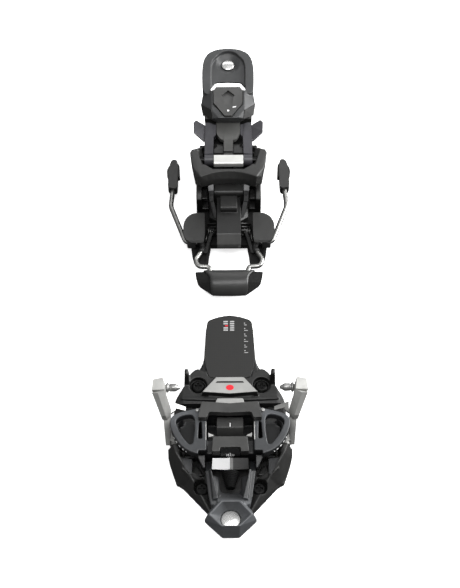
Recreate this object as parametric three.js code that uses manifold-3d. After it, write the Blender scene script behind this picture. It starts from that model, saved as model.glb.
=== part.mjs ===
// Touring ski binding: a pin toe unit and an alpine-style heel unit, stored open.
// Millimetres, +Z up, ski tip towards -Y, ski tail towards +Y, z = 0 on the ski's top face.
import * as THREE from "three";
import { ConvexGeometry } from "three/addons/geometries/ConvexGeometry.js";
import { mergeVertices } from "three/addons/utils/BufferGeometryUtils.js";
import Module from "manifold-3d";

const wasm = await Module();
wasm.setup();

// ---- Driving dimensions -------------------------------------------------------------
const TOE_Y = -101.1; // pin line of the toe unit along the ski
const HEEL_Y = 101.1; // main axle of the heel unit along the ski
const GAP = 0.3; // gap between pieces that touch
const SCREW_R = 2.6; // shank of a binding screw
const ARC_STEPS = 2; // segments of a rounded corner

// Toe unit, in its own frame: y = 0 is the pin line
const PIN_Z = 37;
const ARM_PIVOT = { x: 40, z: 9 };
const ARM_PIN_R = 1.6;
const DECK_Z = 11.5; // top of the screw deck and the tongue's cover
const COVER_THICK = 3.5;
const COVER_SEAT_Z = DECK_Z - COVER_THICK - GAP;
const PLATE_Z = 4; // top of the low base plate
const FLANK_REAR_Y = -37.6;
const LOBE_Z = [22.6, 30]; // bottom and top of the ring lobes
const LEVER_HINGE = { y: -50, z: 11 };
const DISH_Y = -91.5;
const DISC_R = 6.9;
const ROD = { y: -42, z: 8.2, r: 2.2 }; // guide rod of the side release

// Heel unit, in its own frame: y = 0 is the main axle
const AXLE = { z: 46, r: 2.5 };
const TRACK = { front: -55, rear: 33, top: 6 };
const CARRIAGE_Z = [6.4, 9.5];
const JAW_TOP = 50;
const BRAKE_PIVOT = { y: -57, z: 11.9 };
const WIRE_R = 2;
const BRAKE_X = 46; // where the brake's ends stand beside the heel

// ---- Colours ------------------------------------------------------------------------
const finish = (color, roughness, metalness) =>
  new THREE.MeshStandardMaterial({ color, roughness, metalness });
const NYLON = finish(0x38393a, 0.55, 0);
const NYLON_GREY = finish(0x505257, 0.5, 0);
const NYLON_WARM = finish(0x47464b, 0.5, 0);
const CARBON = finish(0x2c2c2b, 0.35, 0.1);
const RUBBER = finish(0x151515, 0.8, 0);
const CAST = finish(0xb9b9b2, 0.35, 0.9);
const STEEL = finish(0xd5d4d0, 0.2, 1);
const SCREW_STEEL = finish(0x2b2b2b, 0.4, 0.8);

// ---- Solids -------------------------------------------------------------------------
function solid(geometry) {
  const bare = geometry.index ? geometry.toNonIndexed() : geometry;
  bare.deleteAttribute("normal");
  bare.deleteAttribute("uv");
  const merged = mergeVertices(bare, 1e-4);
  return new wasm.Manifold(
    new wasm.Mesh({
      numProp: 3,
      vertProperties: merged.attributes.position.array,
      triVerts: new Uint32Array(merged.index.array),
    }),
  );
}

function join(...solids) {
  return solids.reduce((a, b) => a.add(b));
}

function cut(body, ...tools) {
  return tools.reduce((a, b) => a.subtract(b), body);
}

// A named mesh from a solid, placed in its unit's frame.
function mesh(name, body, material) {
  const { vertProperties, triVerts, numProp } = body.getMesh();
  if (numProp !== 3) throw new Error(name);
  const geometry = new THREE.BufferGeometry();
  geometry.setAttribute("position", new THREE.BufferAttribute(vertProperties, 3));
  geometry.setIndex(new THREE.BufferAttribute(triVerts, 1));
  geometry.computeVertexNormals();
  const made = new THREE.Mesh(geometry, material);
  made.name = name;
  return made;
}

const move = (geometry, x, y, z) => geometry.translate(x, y, z);

// An outline of [u, v] corners, or [u, v, r] for a corner rounded to r.
function outline(corners) {
  const at = corners.map(([u, v]) => new THREE.Vector2(u, v));
  const shape = new THREE.Shape();
  corners.forEach(([, , r = 0], i) => {
    const here = at[i];
    const before = at[(i + at.length - 1) % at.length];
    const after = at[(i + 1) % at.length];
    const back = before.clone().sub(here);
    const ahead = after.clone().sub(here);
    const reach = Math.min(r, back.length() * 0.49, ahead.length() * 0.49);
    const start = here.clone().addScaledVector(back.normalize(), reach);
    const end = here.clone().addScaledVector(ahead.normalize(), reach);
    if (i) shape.lineTo(start.x, start.y);
    else shape.moveTo(start.x, start.y);
    if (reach) shape.quadraticCurveTo(here.x, here.y, end.x, end.y);
  });
  shape.closePath();
  return shape;
}

const extruded = (corners, depth) =>
  new THREE.ExtrudeGeometry(outline(corners), {
    depth,
    bevelEnabled: false,
    curveSegments: ARC_STEPS,
  });

// Prisms of an XY, a YZ and an XZ outline.
function prism(corners, z0, z1) {
  return solid(move(extruded(corners, z1 - z0), 0, 0, z0));
}

function prismX(corners, x0, x1) {
  const turned = new THREE.Matrix4().set(0, 0, 1, 0, 1, 0, 0, 0, 0, 1, 0, 0, 0, 0, 0, 1);
  return solid(move(extruded(corners, x1 - x0).applyMatrix4(turned), x0, 0, 0));
}

function prismY(corners, y0, y1) {
  const turned = new THREE.Matrix4().set(1, 0, 0, 0, 0, 0, -1, 0, 0, 1, 0, 0, 0, 0, 0, 1);
  return solid(move(extruded(corners, y1 - y0).applyMatrix4(turned), 0, y1, 0));
}

const box = (x0, x1, y0, y1, z0, z1) =>
  solid(
    move(
      new THREE.BoxGeometry(x1 - x0, y1 - y0, z1 - z0),
      (x0 + x1) / 2,
      (y0 + y1) / 2,
      (z0 + z1) / 2,
    ),
  );

// The convex solid around a list of [x, y, z] points.
const hull = (points) =>
  solid(new ConvexGeometry(points.map(([x, y, z]) => new THREE.Vector3(x, y, z))));

// Both signs of x for each point.
const both = (points) => points.flatMap(([x, y, z]) => [[x, y, z], [-x, y, z]]);

// The same points on one side: side is 1 for right, -1 for left.
const on = (side, points) => points.map(([x, ...rest]) => [side * x, ...rest]);

// A right-hand outline closed by its own mirror image in x.
const mirrored = (half) => [...half, ...half.map(([x, ...rest]) => [-x, ...rest]).reverse()];

// A round rod from a to b, with another radius at b if it tapers.
function rod(a, b, r, rEnd = r, sides = 20) {
  const from = new THREE.Vector3(...a);
  const to = new THREE.Vector3(...b);
  const length = from.distanceTo(to);
  const round = new THREE.CylinderGeometry(rEnd, r, length, sides);
  const along = to.clone().sub(from).normalize();
  const turn = new THREE.Quaternion().setFromUnitVectors(new THREE.Vector3(0, 1, 0), along);
  round.applyQuaternion(turn);
  return solid(move(round, ...from.add(to).multiplyScalar(0.5)));
}

// A round solid about a vertical axis through (x, y) from [radius, z] steps.
function turned(x, y, profile, sides = 24) {
  const points = profile.map(([r, z]) => new THREE.Vector2(r, z));
  const round = new THREE.LatheGeometry(points, sides);
  round.rotateX(Math.PI / 2);
  return solid(move(round, x, y, 0));
}

// A round tube of radius r through [x, y, z] points.
function tube(points, r, steps, sides = 8) {
  const stops = points.map((p) => new THREE.Vector3(...p));
  const path = new THREE.CatmullRomCurve3(stops, false, "catmullrom", 0.5);
  const section = new THREE.Shape();
  for (let i = 0; i < sides; i += 1) {
    const angle = (2 * Math.PI * i) / sides;
    const place = [r * Math.cos(angle), r * Math.sin(angle)];
    if (i) section.lineTo(...place);
    else section.moveTo(...place);
  }
  section.closePath();
  return solid(new THREE.ExtrudeGeometry(section, { steps, extrudePath: path, bevelEnabled: false }));
}

// A coil spring about the line from (x, y0, z) to (x, y1, z).
function coil(x, y0, y1, z, radius, wire, turns) {
  const points = [];
  const perTurn = 8;
  for (let i = 0; i <= turns * perTurn; i += 1) {
    const angle = (2 * Math.PI * i) / perTurn;
    const y = y0 + ((y1 - y0) * i) / (turns * perTurn);
    points.push([x + radius * Math.cos(angle), y, z + radius * Math.sin(angle)]);
  }
  return tube(points, wire, turns * 10, 6);
}

// ---- Screws -------------------------------------------------------------------------
// A pan-head screw with a cross recess, standing in a stepped seat at (x, y).
const HEAD_R = 5.2;
const HEAD_H = 2.6;
function screw(x, y, seatZ) {
  const headZ = seatZ + GAP;
  const body = turned(x, y, [
    [0, GAP],
    [SCREW_R - GAP, GAP],
    [SCREW_R - GAP, headZ],
    [HEAD_R, headZ],
    [HEAD_R, headZ + HEAD_H * 0.55],
    [HEAD_R * 0.72, headZ + HEAD_H],
    [0, headZ + HEAD_H],
  ], 14);
  const slotHalf = 0.7;
  const slotReach = 2.6;
  const top = headZ + HEAD_H + 1;
  const bottom = headZ + HEAD_H - 1.6;
  return cut(
    body,
    box(x - slotReach, x + slotReach, y - slotHalf, y + slotHalf, bottom, top),
    box(x - slotHalf, x + slotHalf, y - slotReach, y + slotReach, bottom, top),
  );
}

function screwSeat(x, y, seatZ, topZ, seatR) {
  return join(
    rod([x, y, -1], [x, y, topZ], SCREW_R, SCREW_R, 14),
    rod([x, y, seatZ], [x, y, topZ], seatR, seatR, 24),
  );
}

// ---- Toe unit -----------------------------------------------------------------------
const TOE_REAR_SCREW = { x: 23.6, y: 15.2, seat: 7.4, r: 6.6 };
const TOE_FRONT_SCREW = { x: 20.3, y: -65.6, seat: 4.2, r: 5.7 };
const badgeZ = (y) => 12.6 + 0.317 * (20.9 - y); // the badge's sloping underside
const BADGE_RISE = [[10.4, 20.9], [20.4, 6.4], [0, 4.4]].map(([x, y]) => [x, y, badgeZ(y)]);

function toePlate() {
  return prism(
    mirrored([
      [14, -84, 2], [16.4, -82.5, 2], [19.4, -73.5, 3], [28.7, -66.7, 2], [30, -66.7, 1],
      [36, -61.5, 1], [38.3, -61, 2], [43.5, -45.5, 5], [45.1, -38.4, 2], [44.2, -34, 4],
      [41.4, -22, 8], [41.4, -0.2, 4], [40.4, 4.2, 3], [37.6, 9.5, 4], [34, 15.2, 4],
      [29.7, 26.2, 3], [24.4, 30.4, 5], [19.8, 38.2, 5], [18.2, 69.4, 3], [16.6, 72.5, 3],
      [8, 75.8, 3], [0.01, 77],
    ]),
    0,
    PLATE_Z,
  );
}

// The raised deck that carries the rear screws, and the tongue under its cover.
function toeDeck() {
  const deck = prism(
    mirrored([
      [40.9, -0.4, 2], [40, 4, 3], [37.2, 9.3, 4], [33.6, 15, 4], [29.3, 25.9, 3], [23.9, 29.8, 4],
      [20, 27, 1],
    ]),
    PLATE_Z - 1,
    DECK_Z,
  );
  const outside = [-1, 1].map((side) => hull(on(side, [
    [44, -1, 9], [44, 12, 9], [33, -1, 12], [33, 12, 12], [44, -1, 14], [44, 12, 14],
  ])));
  const tongue = prism(
    mirrored([[22.5, 25, 1], [19.4, 38.2, 5], [17.8, 69.2, 3], [16.3, 72, 3], [8, 75.3, 3], [0.01, 76.5]]),
    PLATE_Z - 1,
    COVER_SEAT_Z,
  );
  const coverSeat = prism(coverEdge(GAP), COVER_SEAT_Z, DECK_Z + 2);
  return join(cut(deck, ...outside, coverSeat), tongue);
}

// The ramp under the badge and the lip along the deck's front edge.
function badgeRamp() {
  const top = both(BADGE_RISE.map(([x, y, z]) => [x, y, z - GAP]));
  const foot = both([[11, 21.6, DECK_Z - 2], [21.6, 5.8, DECK_Z - 2], [0, 3.4, DECK_Z - 2]]);
  const sides = [-1, 1].map((side) => hull(on(side, [
    [36, 4.4, 13], [36, 2.6, 13], [11.3, 4.6, 13.4], [11.3, 1.6, 13.4], [36, 4.4, 9], [11.3, 1, 9],
  ])));
  const middle = hull(both([[11.3, 4.6, 13.4], [11.3, 1.6, 13.4], [11.3, 4.6, 9], [11.3, 1, 9]]));
  return cut(join(hull([...top, ...foot]), middle, ...sides), prism(coverEdge(GAP), COVER_SEAT_Z, 20));
}

// An upright fin beside each rear screw.
function fin(side) {
  return hull(on(side, [
    [30, 15, 8], [34, 15, 8], [30, 24, 8], [34, 24, 8], [30.6, 17.5, 23], [33.4, 17.5, 23],
    [30.6, 22.6, 23], [33.4, 22.6, 23], [31.2, 18.6, 24.2], [33, 18.6, 24.2], [31.2, 21.6, 24.2],
    [33, 21.6, 24.2],
  ]));
}

// The bow-shaped fairing: an outer shell, a lower nose and a sloping inner panel.
function flank(side) {
  const outer = hull(on(side, [
    [44.9, FLANK_REAR_Y, 0], [45, -38.6, 0], [43.4, -45.6, 0], [38, -60.4, 0], [30, -66, 0], [25, -60, 0],
    [34, FLANK_REAR_Y, 0], [44.6, FLANK_REAR_Y, 13], [44.2, -43.5, 10], [41.2, -52.5, 6.5],
    [37.4, -60.6, 3.5], [41, FLANK_REAR_Y, 21.4], [38.6, -44.3, 21.2], [34.3, -51, 19],
    [28.4, -59.4, 14.6], [25.4, -62.6, 12.6], [37.4, FLANK_REAR_Y, 21.4], [32, -51, 18.6],
  ]));
  const nose = hull(on(side, [
    [35.6, -61.2, 0], [28.6, -66.6, 0], [19.4, -73.4, 0], [16.4, -82.3, 0], [13.5, -83.8, 0],
    [12, -62, 0], [28, -59.6, 14.4], [21.3, -68.9, 9.6], [17.6, -76.5, 7], [15.2, -82.6, 5.8],
    [13.4, -83.4, 5.6], [13, -66, 6], [33.4, -62, 5], [20.5, -60, 7.4],
  ]));
  const shelf = hull(on(side, [
    [35.8, -46.6, 17.8], [34.2, -54.6, 17], [26.9, -46.6, 15.4], [26.9, -57.4, 14.6], [35.8, -46.6, 2],
    [34.2, -54.6, 2], [26.9, -46.6, 2], [26.9, -57.4, 2], [30, -58, 15.4], [30, -58, 2],
  ]));
  const floor = hull(on(side, [
    [32, -46.5, 6.2], [23.6, -48, 6], [19, -55, 6], [32, -56, 6.8], [32, -46.5, 2], [23.6, -48, 2],
    [19, -55, 2], [32, -56, 2],
  ]));
  const panel = hull(on(side, [
    [33, -55.4, 16.4], [26.9, -55.4, 14.6], [27.4, -61.5, 12.6], [23, -58.6, 11], [26.4, -63.6, 11.4],
    [18.6, -59.2, 9.4], [33, -55.4, 2], [26.9, -55.4, 2], [18.6, -59.2, 2], [26.4, -63.6, 2], [18.6, -62, 2],
  ]));
  const slot = prism(on(side, [[36.6, -42.8], [33.8, -43.4], [28.2, -56], [30, -57.2]]), 5, 30);
  return cut(join(outer, nose, shelf, floor, panel), slot);
}

// Bosses at the flanks' inner feet that hold the ends of the guide rod.
function rodBoss(side) {
  return hull(on(side, [
    [32.4, ROD.y - 4.4, 3], [37, ROD.y - 4.4, 3], [32.4, ROD.y + 4.2, 3], [37, ROD.y + 4.2, 3],
    [32.4, ROD.y - 3.4, 12], [37, ROD.y - 3.4, 12], [32.4, ROD.y + 3.4, 12], [37, ROD.y + 3.4, 12],
  ]));
}

function toeBase() {
  const cuts = [];
  for (const side of [-1, 1]) {
    const { x, y, seat, r } = TOE_REAR_SCREW;
    cuts.push(screwSeat(side * x, y, seat, 30, r));
    const front = TOE_FRONT_SCREW;
    cuts.push(screwSeat(side * front.x, front.y, front.seat, 30, front.r));
  }
  const pocket = rod([-35.6, ROD.y, ROD.z], [35.6, ROD.y, ROD.z], ROD.r + GAP);
  const sides = [-1, 1].flatMap((side) => [fin(side), flank(side), rodBoss(side)]);
  return mesh("toe_base", cut(join(toePlate(), toeDeck(), badgeRamp(), ...sides), ...cuts, pocket), NYLON);
}

// The cover's outline; grow widens it to cut its seat in the deck.
const coverEdge = (grow) => mirrored([
  [10.2 + grow, 20.8 - grow], [15.6 + grow, 22.4], [18 + grow, 31], [19 + grow, 38.4, 8],
  [17.4 + grow, 69.2, 3],
  [16 + grow, 71.8 + grow, 3], [8, 75 + grow, 3], [0.01, 76.2 + grow],
]);

function tongueCover() {
  return mesh("tongue_cover", prism(coverEdge(0), DECK_Z - COVER_THICK, DECK_Z), CARBON);
}

function badgePlate() {
  const thick = 0.8;
  const low = both(BADGE_RISE);
  const high = both(BADGE_RISE.map(([x, y, z]) => [x * 0.985, y, z + thick]));
  return mesh("badge_plate", hull([...low, ...high]), STEEL);
}

// The bright strip that caps the carriage behind the bumper.
function badgeStrip() {
  const strip = hull(both([
    [9.6, 1.2, 16], [10.6, -1.6, 15.9], [12.4, -10.4, 15.9], [9.2, 1.2, 17], [10.4, -1.8, 17.2],
    [12.2, -10.4, 17.2],
  ]));
  return mesh("badge_strip", strip, STEEL);
}

// Half of a ring lobe's outline, seen from above, on the right.
const LOBE_OUTER = [
  [22, -13.4, 1], [26.7, -14.3, 2], [33.1, -15.9, 3], [38.8, -17.5, 4], [42.6, -21.2, 4], [43, -25, 3],
  [41.8, -30.2, 4], [39.2, -36.2, 5], [34.6, -43, 4], [29, -47, 3], [22.6, -49.2, 1],
];
const LOBE_POCKET = [
  [25.2, -20.8, 2], [27.2, -18.4, 2], [31.4, -18.6, 2], [36, -20, 2], [39.2, -23.2, 3], [37.2, -29.4, 3],
  [33.4, -36.6, 3], [28.8, -42, 2], [26.4, -41.6, 1.5], [25, -31, 3],
];
const CHANNEL_X = 16.8; // half the width of the trigger's channel

function lobe(side) {
  const rim = prism(on(side, LOBE_OUTER), ...LOBE_Z);
  const wall = prism(on(side, [
    [CHANNEL_X, -11.6], [24, -13.6], [24.7, -18], [24.7, -43], [22.9, -44.6], [22.9, -46.4],
    [CHANNEL_X, -46.4],
  ]), 5, LOBE_Z[1]);
  const skirt = prism(on(side, [
    [34, -18.4], [38.4, -21.2, 1], [38.4, -30, 1], [36.4, -36], [34.8, -35.6], [36.8, -29.6, 1],
    [36.8, -22, 1], [33.6, -19.8],
  ]), 13.6, LOBE_Z[0] + 1);
  const pocket = prism(on(side, LOBE_POCKET), LOBE_Z[0] - 4, LOBE_Z[1] + 1);
  const pocketFloor = prism(on(side, [
    [23, -18], [34, -18.6], [38, -21.5, 2], [38, -30, 2], [35.8, -37], [27.6, -37.2], [27.2, -42, 1],
    [23, -44],
  ]), 13.6, 15.4);
  const screen = prism(on(side, [[22, -45.6], [26, -45.6], [26, -44.4], [22, -44.4]]), 12.4, LOBE_Z[0] + 1);
  const slot = prism(on(side, [
    [20.3, -23.2, 1], [22.2, -24.4, 1], [22.8, -37.2, 1], [19.7, -37.6, 1],
  ]), 12, 40);
  return cut(join(cut(join(rim, wall), pocket), skirt, pocketFloor, screen), slot);
}

// Prongs that run forward from the lobes and hold the lever's axle.
function prong(side) {
  const upper = hull(on(side, [
    [22.7, -47.4, 24], [22.7, -49.6, 23.6], [19.2, -56.4, 22], [17.9, -56.4, 22], [17.9, -47.4, 24],
    [22.7, -47.4, 18.6], [19.2, -56.2, 18.6], [17.9, -56.2, 18.6], [17.9, -47.4, 18.6],
  ]));
  const lower = hull(on(side, [
    [20.4, -45, 20], [20.4, -45, 7.6], [17.9, -45, 7.6], [17.9, -45, 20], [20.2, -53.6, 19.4],
    [17.9, -53.8, 19.4],
    [20.2, -53.4, 12], [17.9, -53.4, 9],
  ]));
  return join(upper, lower);
}

// Ears on the carriage's floor plate that hold each arm's pivot rod.
function armEars(side) {
  const { x, z } = ARM_PIVOT;
  const ears = [[-16.5, -13], [-36.6, -33.7]].map(([y0, y1]) => {
    const foot = [[30, y0, 5], [x + 2, y0, 5], [30, y1, 5], [x + 2, y1, 5]];
    const head = [[x - 3, y0, z + 3.6], [x + 2, y0, z + 3.6], [x - 3, y1, z + 3.6], [x + 2, y1, z + 3.6]];
    return hull(on(side, [...foot, ...head]));
  });
  return join(...ears);
}

function toeCarriage() {
  const floor = box(-35.4, 35.4, -36.6, -13, 5, 8);
  const rear = prismX([[-0.9, 5], [-0.9, 14.4, 1], [-2, 15.6], [-13, 15.6], [-13, 5]], -21.5, 21.5);
  const riser = prismX([[-11.2, 8], [-11.2, 29.7], [-13.4, 29.7], [-16.4, 20], [-16.4, 8]], -19, 19);
  const bridge = box(-CHANNEL_X - 1, CHANNEL_X + 1, -46.4, -35.8, 5, 23.6);
  const { x, z } = ARM_PIVOT;
  const cuts = [
    rod([-60, ROD.y, ROD.z], [60, ROD.y, ROD.z], ROD.r + GAP),
    rod([0, -60, 15.6], [0, -19, 15.6], 5.2),
    rod([-24, LEVER_HINGE.y, LEVER_HINGE.z], [24, LEVER_HINGE.y, LEVER_HINGE.z], 1.9 + GAP),
    rod([-x, -60, z], [-x, 0, z], ARM_PIN_R + GAP, ARM_PIN_R + GAP, 12),
    rod([x, -60, z], [x, 0, z], ARM_PIN_R + GAP, ARM_PIN_R + GAP, 12),
    box(-9.9, 9.9, -33, -17, 9, 40),
  ];
  const parts = [floor, rear, riser, bridge];
  for (const side of [-1, 1]) parts.push(lobe(side), prong(side), armEars(side));
  return mesh("toe_carriage", cut(join(...parts), ...cuts), NYLON_GREY);
}

// The boot bumper: an inverted U that opens towards the tip.
function toeBumper() {
  const top = prism(mirrored([
    [0.01, -12.7], [20.2, -11.1, 1], [22.8, -23.8, 1], [16.5, -23.8, 0.6], [15.2, -19.4, 1.5], [0.01, -20.2],
  ]), LOBE_Z[1] + GAP, 36);
  return mesh("toe_bumper", top, NYLON);
}

// The block in the channel that the boot's toe presses.
function stepInPlate() {
  const side = prismX([
    [-18, 12.6], [-18, 25.2, 1], [-20, 26], [-27, 26, 0.8], [-30.8, 20], [-31.6, 12.6],
  ], -9.4, 9.4);
  const groove = box(-0.7, 0.7, -27.4, -22.5, 25.2, 27);
  return mesh("step_in_plate", cut(side, groove), NYLON);
}

function scaleBracket() {
  const deck = prism(mirrored([
    [12.2, -36.2, 1], [13.1, -47.8, 1], [7.4, -47.8, 0.5], [7.2, -44.6, 1], [0.01, -44.6],
  ]), 24, 31);
  return mesh("scale_bracket", deck, NYLON);
}

function scaleInsert() {
  const wedge = hull(both([
    [6.8, -44.9, 24], [6.8, -44.9, 29], [6.9, -48.6, 24.6], [6.9, -48.6, 24],
  ]));
  return mesh("scale_insert", wedge, RUBBER);
}

// The faceted cross piece that the release spring pulls on.
function releaseYoke() {
  const yoke = hull([
    ...both([[12.5, -50.6, 25.6], [13, -56, 19], [12.6, -50.2, 19], [12.9, -55, 17.6]]),
    [-3, -51.4, 27.2], [1.2, -51.4, 27.2], [-3, -57, 20], [1.2, -57, 20],
  ]);
  const stem = rod([0, -56.2, 15.6], [0, -46, 15.6], 2.4);
  return mesh("release_yoke", cut(join(yoke, box(-3, 3, -54.5, -50.6, 13.6, 19), stem)), STEEL);
}

// The ribbed adjusting sleeve, a cone with rings.
function releaseSleeve() {
  const profile = [[0, -12.2]];
  const ribs = 5;
  for (let i = 0; i < ribs; i += 1) {
    const y0 = -12.2 + (12.2 * i) / ribs;
    const r = 3.3 + (3 * (i + 0.6)) / ribs;
    profile.push([r - 0.5, y0], [r, y0 + 0.5], [r, y0 + 1.6], [r - 0.5, y0 + 2]);
  }
  profile.push([6, 0], [0, 0]);
  const round = new THREE.LatheGeometry(profile.map(([r, y]) => new THREE.Vector2(r, y)), 14);
  return mesh("release_sleeve", solid(move(round, 0, -57.4, 15.6)), RUBBER);
}

function toeSpring() {
  return mesh("release_spring", coil(0, -45.4, -35.6, 15.6, 3.9, 0.8, 4), STEEL);
}

// ---- Toe arms -----------------------------------------------------------------------
function toeArm(side) {
  const head = hull(on(side, [
    [47.8, 3.8, 44.6], [54.8, 2.4, 44.4], [55.6, -6, 44], [46.8, -6, 44.6], [46, -1, 42.6],
    [47, 3.2, 33.6], [53.6, 1, 33.6], [54.4, -6, 34], [45.4, -6, 34],
  ]));
  const stem = hull(on(side, [
    [46.2, -5.6, 43.4], [51, -8.4, 43.6], [55.4, -7.6, 42.4], [42.2, -13.4, 27], [46, -18.6, 28],
    [49.4, -18, 27],
    [46.2, -2.4, 34], [53.4, -1.4, 34], [43, -11.6, 19], [49.2, -11.6, 19], [42.8, -15.4, 20.6],
    [45.6, -18.4, 21],
    [48.8, -18, 21],
  ]));
  const lower = hull(on(side, [
    [43, -16.6, 20.6], [48, -18.6, 20.8], [43.4, -33.4, 10.4], [46.4, -33.4, 10.6], [43, -12.2, 15],
    [47.8, -12.2, 15], [43, -11.8, 19.6], [48.4, -11.8, 19.6], [43.2, -30, 5.6], [46.2, -30, 5.8],
  ]));
  const { x, z } = ARM_PIVOT;
  const barrel = rod([side * x, -33.2, z], [side * x, -17, z], 3.5, 3.5, 16);
  const lug = hull(on(side, [
    [x, -32, z - 3], [x, -18, z - 3], [x, -32, z + 3.4], [x, -18, z + 3.4], [44, -30, 7], [44, -17, 9],
    [44, -30, 12], [44, -17, 14],
  ]));
  const bore = rod([side * x, -40, z], [side * x, -10, z], ARM_PIN_R + GAP, ARM_PIN_R + GAP, 12);
  const pinHole = rod([side * 40, -0.6, PIN_Z], [side * 53, -0.6, PIN_Z], 2.2 + GAP, 2.2 + GAP, 16);
  return cut(join(head, stem, lower, lug, barrel), bore, pinHole);
}

function toePin(side) {
  const shaft = rod([side * 52.6, -0.6, PIN_Z], [side * 44, -0.6, PIN_Z], 2.2, 2.2, 16);
  const collar = rod([side * 45.6, -0.6, PIN_Z], [side * 44.2, -0.6, PIN_Z], 3.7, 3.4, 16);
  const barrel = rod([side * 44.4, -0.6, PIN_Z], [side * 39, -0.6, PIN_Z], 2.9, 2.9, 16);
  const tip = rod([side * 39.2, -0.6, PIN_Z], [side * 35.3, -0.6, PIN_Z], 2.9, 1, 16);
  return join(shaft, collar, barrel, tip);
}

// The polished strap that links an arm to the carriage's closing cam.
function armStrap(side) {
  const blade = hull(on(side, [
    [42.6, -4.6, 22.6], [42.6, -8.4, 22.4], [42.6, -4.6, 21.2], [42.6, -8.4, 20.8], [32.3, -5.8, 17.2],
    [32.3, -8.6, 16.8], [32.3, -5.8, 15.8], [32.3, -8.6, 15.4], [36, -4.8, 18.6], [36, -8.8, 18],
  ]));
  const root = hull(on(side, [
    [42.6, -5, 22.6], [42.6, -13.4, 22.4], [42.6, -5, 20.8], [42.6, -13.4, 19.6], [39.6, -6, 21.2],
    [39.6, -10, 20.8], [39.6, -6, 19.8], [39.6, -10, 19],
  ]));
  return join(blade, root);
}

// ---- Toe lever ----------------------------------------------------------------------
const HEX_RIM = [[6.5, -80.1], [15.3, -90.3], [6.4, -99]];

function leverArm(side) {
  const { y, z } = LEVER_HINGE;
  const hub = rod([side * 13.5, y, z], [side * 17.6, y, z], 3.2, 3.2, 16);
  const link = hull(on(side, [
    [13.5, y + 1, z + 3], [17.6, y + 1, z + 3], [13.5, y - 3, z - 1], [17.6, y - 3, z - 1], [13.5, -58, 20],
    [17.6, -57.6, 19], [13.5, -59.6, 14.2], [17.6, -59.6, 14.8],
  ]));
  return join(hub, link);
}

function leverRail(side) {
  const ridge = hull(on(side, [
    [13.4, -57.6, 23], [14.6, -57.6, 22.4], [8.6, -78.6, 21], [12, -79, 20], [13.4, -57.6, 13],
    [16, -57.6, 13],
    [8.6, -79, 9.6], [13, -79, 9.6],
  ]));
  const inner = hull(on(side, [
    [13.4, -60.4, 19], [7.9, -60.4, 15.4], [5.9, -74, 14.8], [9, -76, 19.6], [13.4, -60.4, 12],
    [7.9, -60.4, 12], [5.9, -74, 10.4], [10, -76, 10],
  ]));
  const strip = hull(on(side, [
    [17.8, -57.4, 19.8], [14, -57.4, 20.6], [15.3, -76, 17.8], [10, -77, 18.4], [13.6, -81.6, 16.6],
    [9, -82, 17.6], [17.4, -57.4, 14.8], [14, -57.4, 14.8], [14.9, -76, 10.4], [9, -77, 10],
    [13.2, -82.4, 9.6], [9, -83, 9.6],
  ]));
  return join(ridge, inner, strip);
}

function leverTip() {
  const rim = both(HEX_RIM.map(([x, y]) => [x, y, 21]));
  const waist = both([[18.2, -92, 14.6], [18.2, -92, 11], [14.4, -84, 13], [14.4, -84, 9.6]]);
  const foot = both([[5.8, -102.2, 7.2], [5.8, -101.6, 4.8], [16.6, -92, 6.4], [8.4, -80, 9.6]]);
  const bowl = [];
  const bowlSides = 20;
  for (let i = 0; i < bowlSides; i += 1) {
    const angle = (2 * Math.PI * i) / bowlSides;
    bowl.push([(DISC_R + 0.6) * Math.cos(angle), DISH_Y + (DISC_R + 0.6) * Math.sin(angle), 14.2]);
  }
  const mouth = both(HEX_RIM.map(([x, y]) => [x * 0.92, DISH_Y + (y - DISH_Y) * 0.9, 21.05]));
  const dish = hull([...mouth, ...bowl]);
  const seat = rod([0, DISH_Y, 11.4], [0, DISH_Y, 16], DISC_R + GAP, DISC_R + GAP, 28);
  return cut(hull([...rim, ...waist, ...foot]), dish, seat);
}

function toeLever() {
  const floor = hull(both([[9, -72, 14.6], [9.4, -81, 20.2], [9, -72, 10.4], [9.4, -81, 9.6]]));
  const { y, z } = LEVER_HINGE;
  const slot = prism(mirrored([[7.6, -50], [7.6, -71, 1.5], [0.01, -73]]), 0, 40);
  const bore = rod([-30, y, z], [30, y, z], 1.9 + GAP, 1.9 + GAP, 16);
  const body = join(leverArm(-1), leverArm(1), leverRail(-1), leverRail(1), floor, leverTip());
  return mesh("toe_lever", cut(body, slot, bore), NYLON_GREY);
}

const domed = (x, y, z0, r, thick, rise) =>
  turned(x, y, [
    [0, z0],
    [r, z0],
    [r, z0 + thick],
    [r * 0.8, z0 + thick + rise * 0.5],
    [r * 0.5, z0 + thick + rise * 0.85],
    [0, z0 + thick + rise],
  ]);

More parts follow.
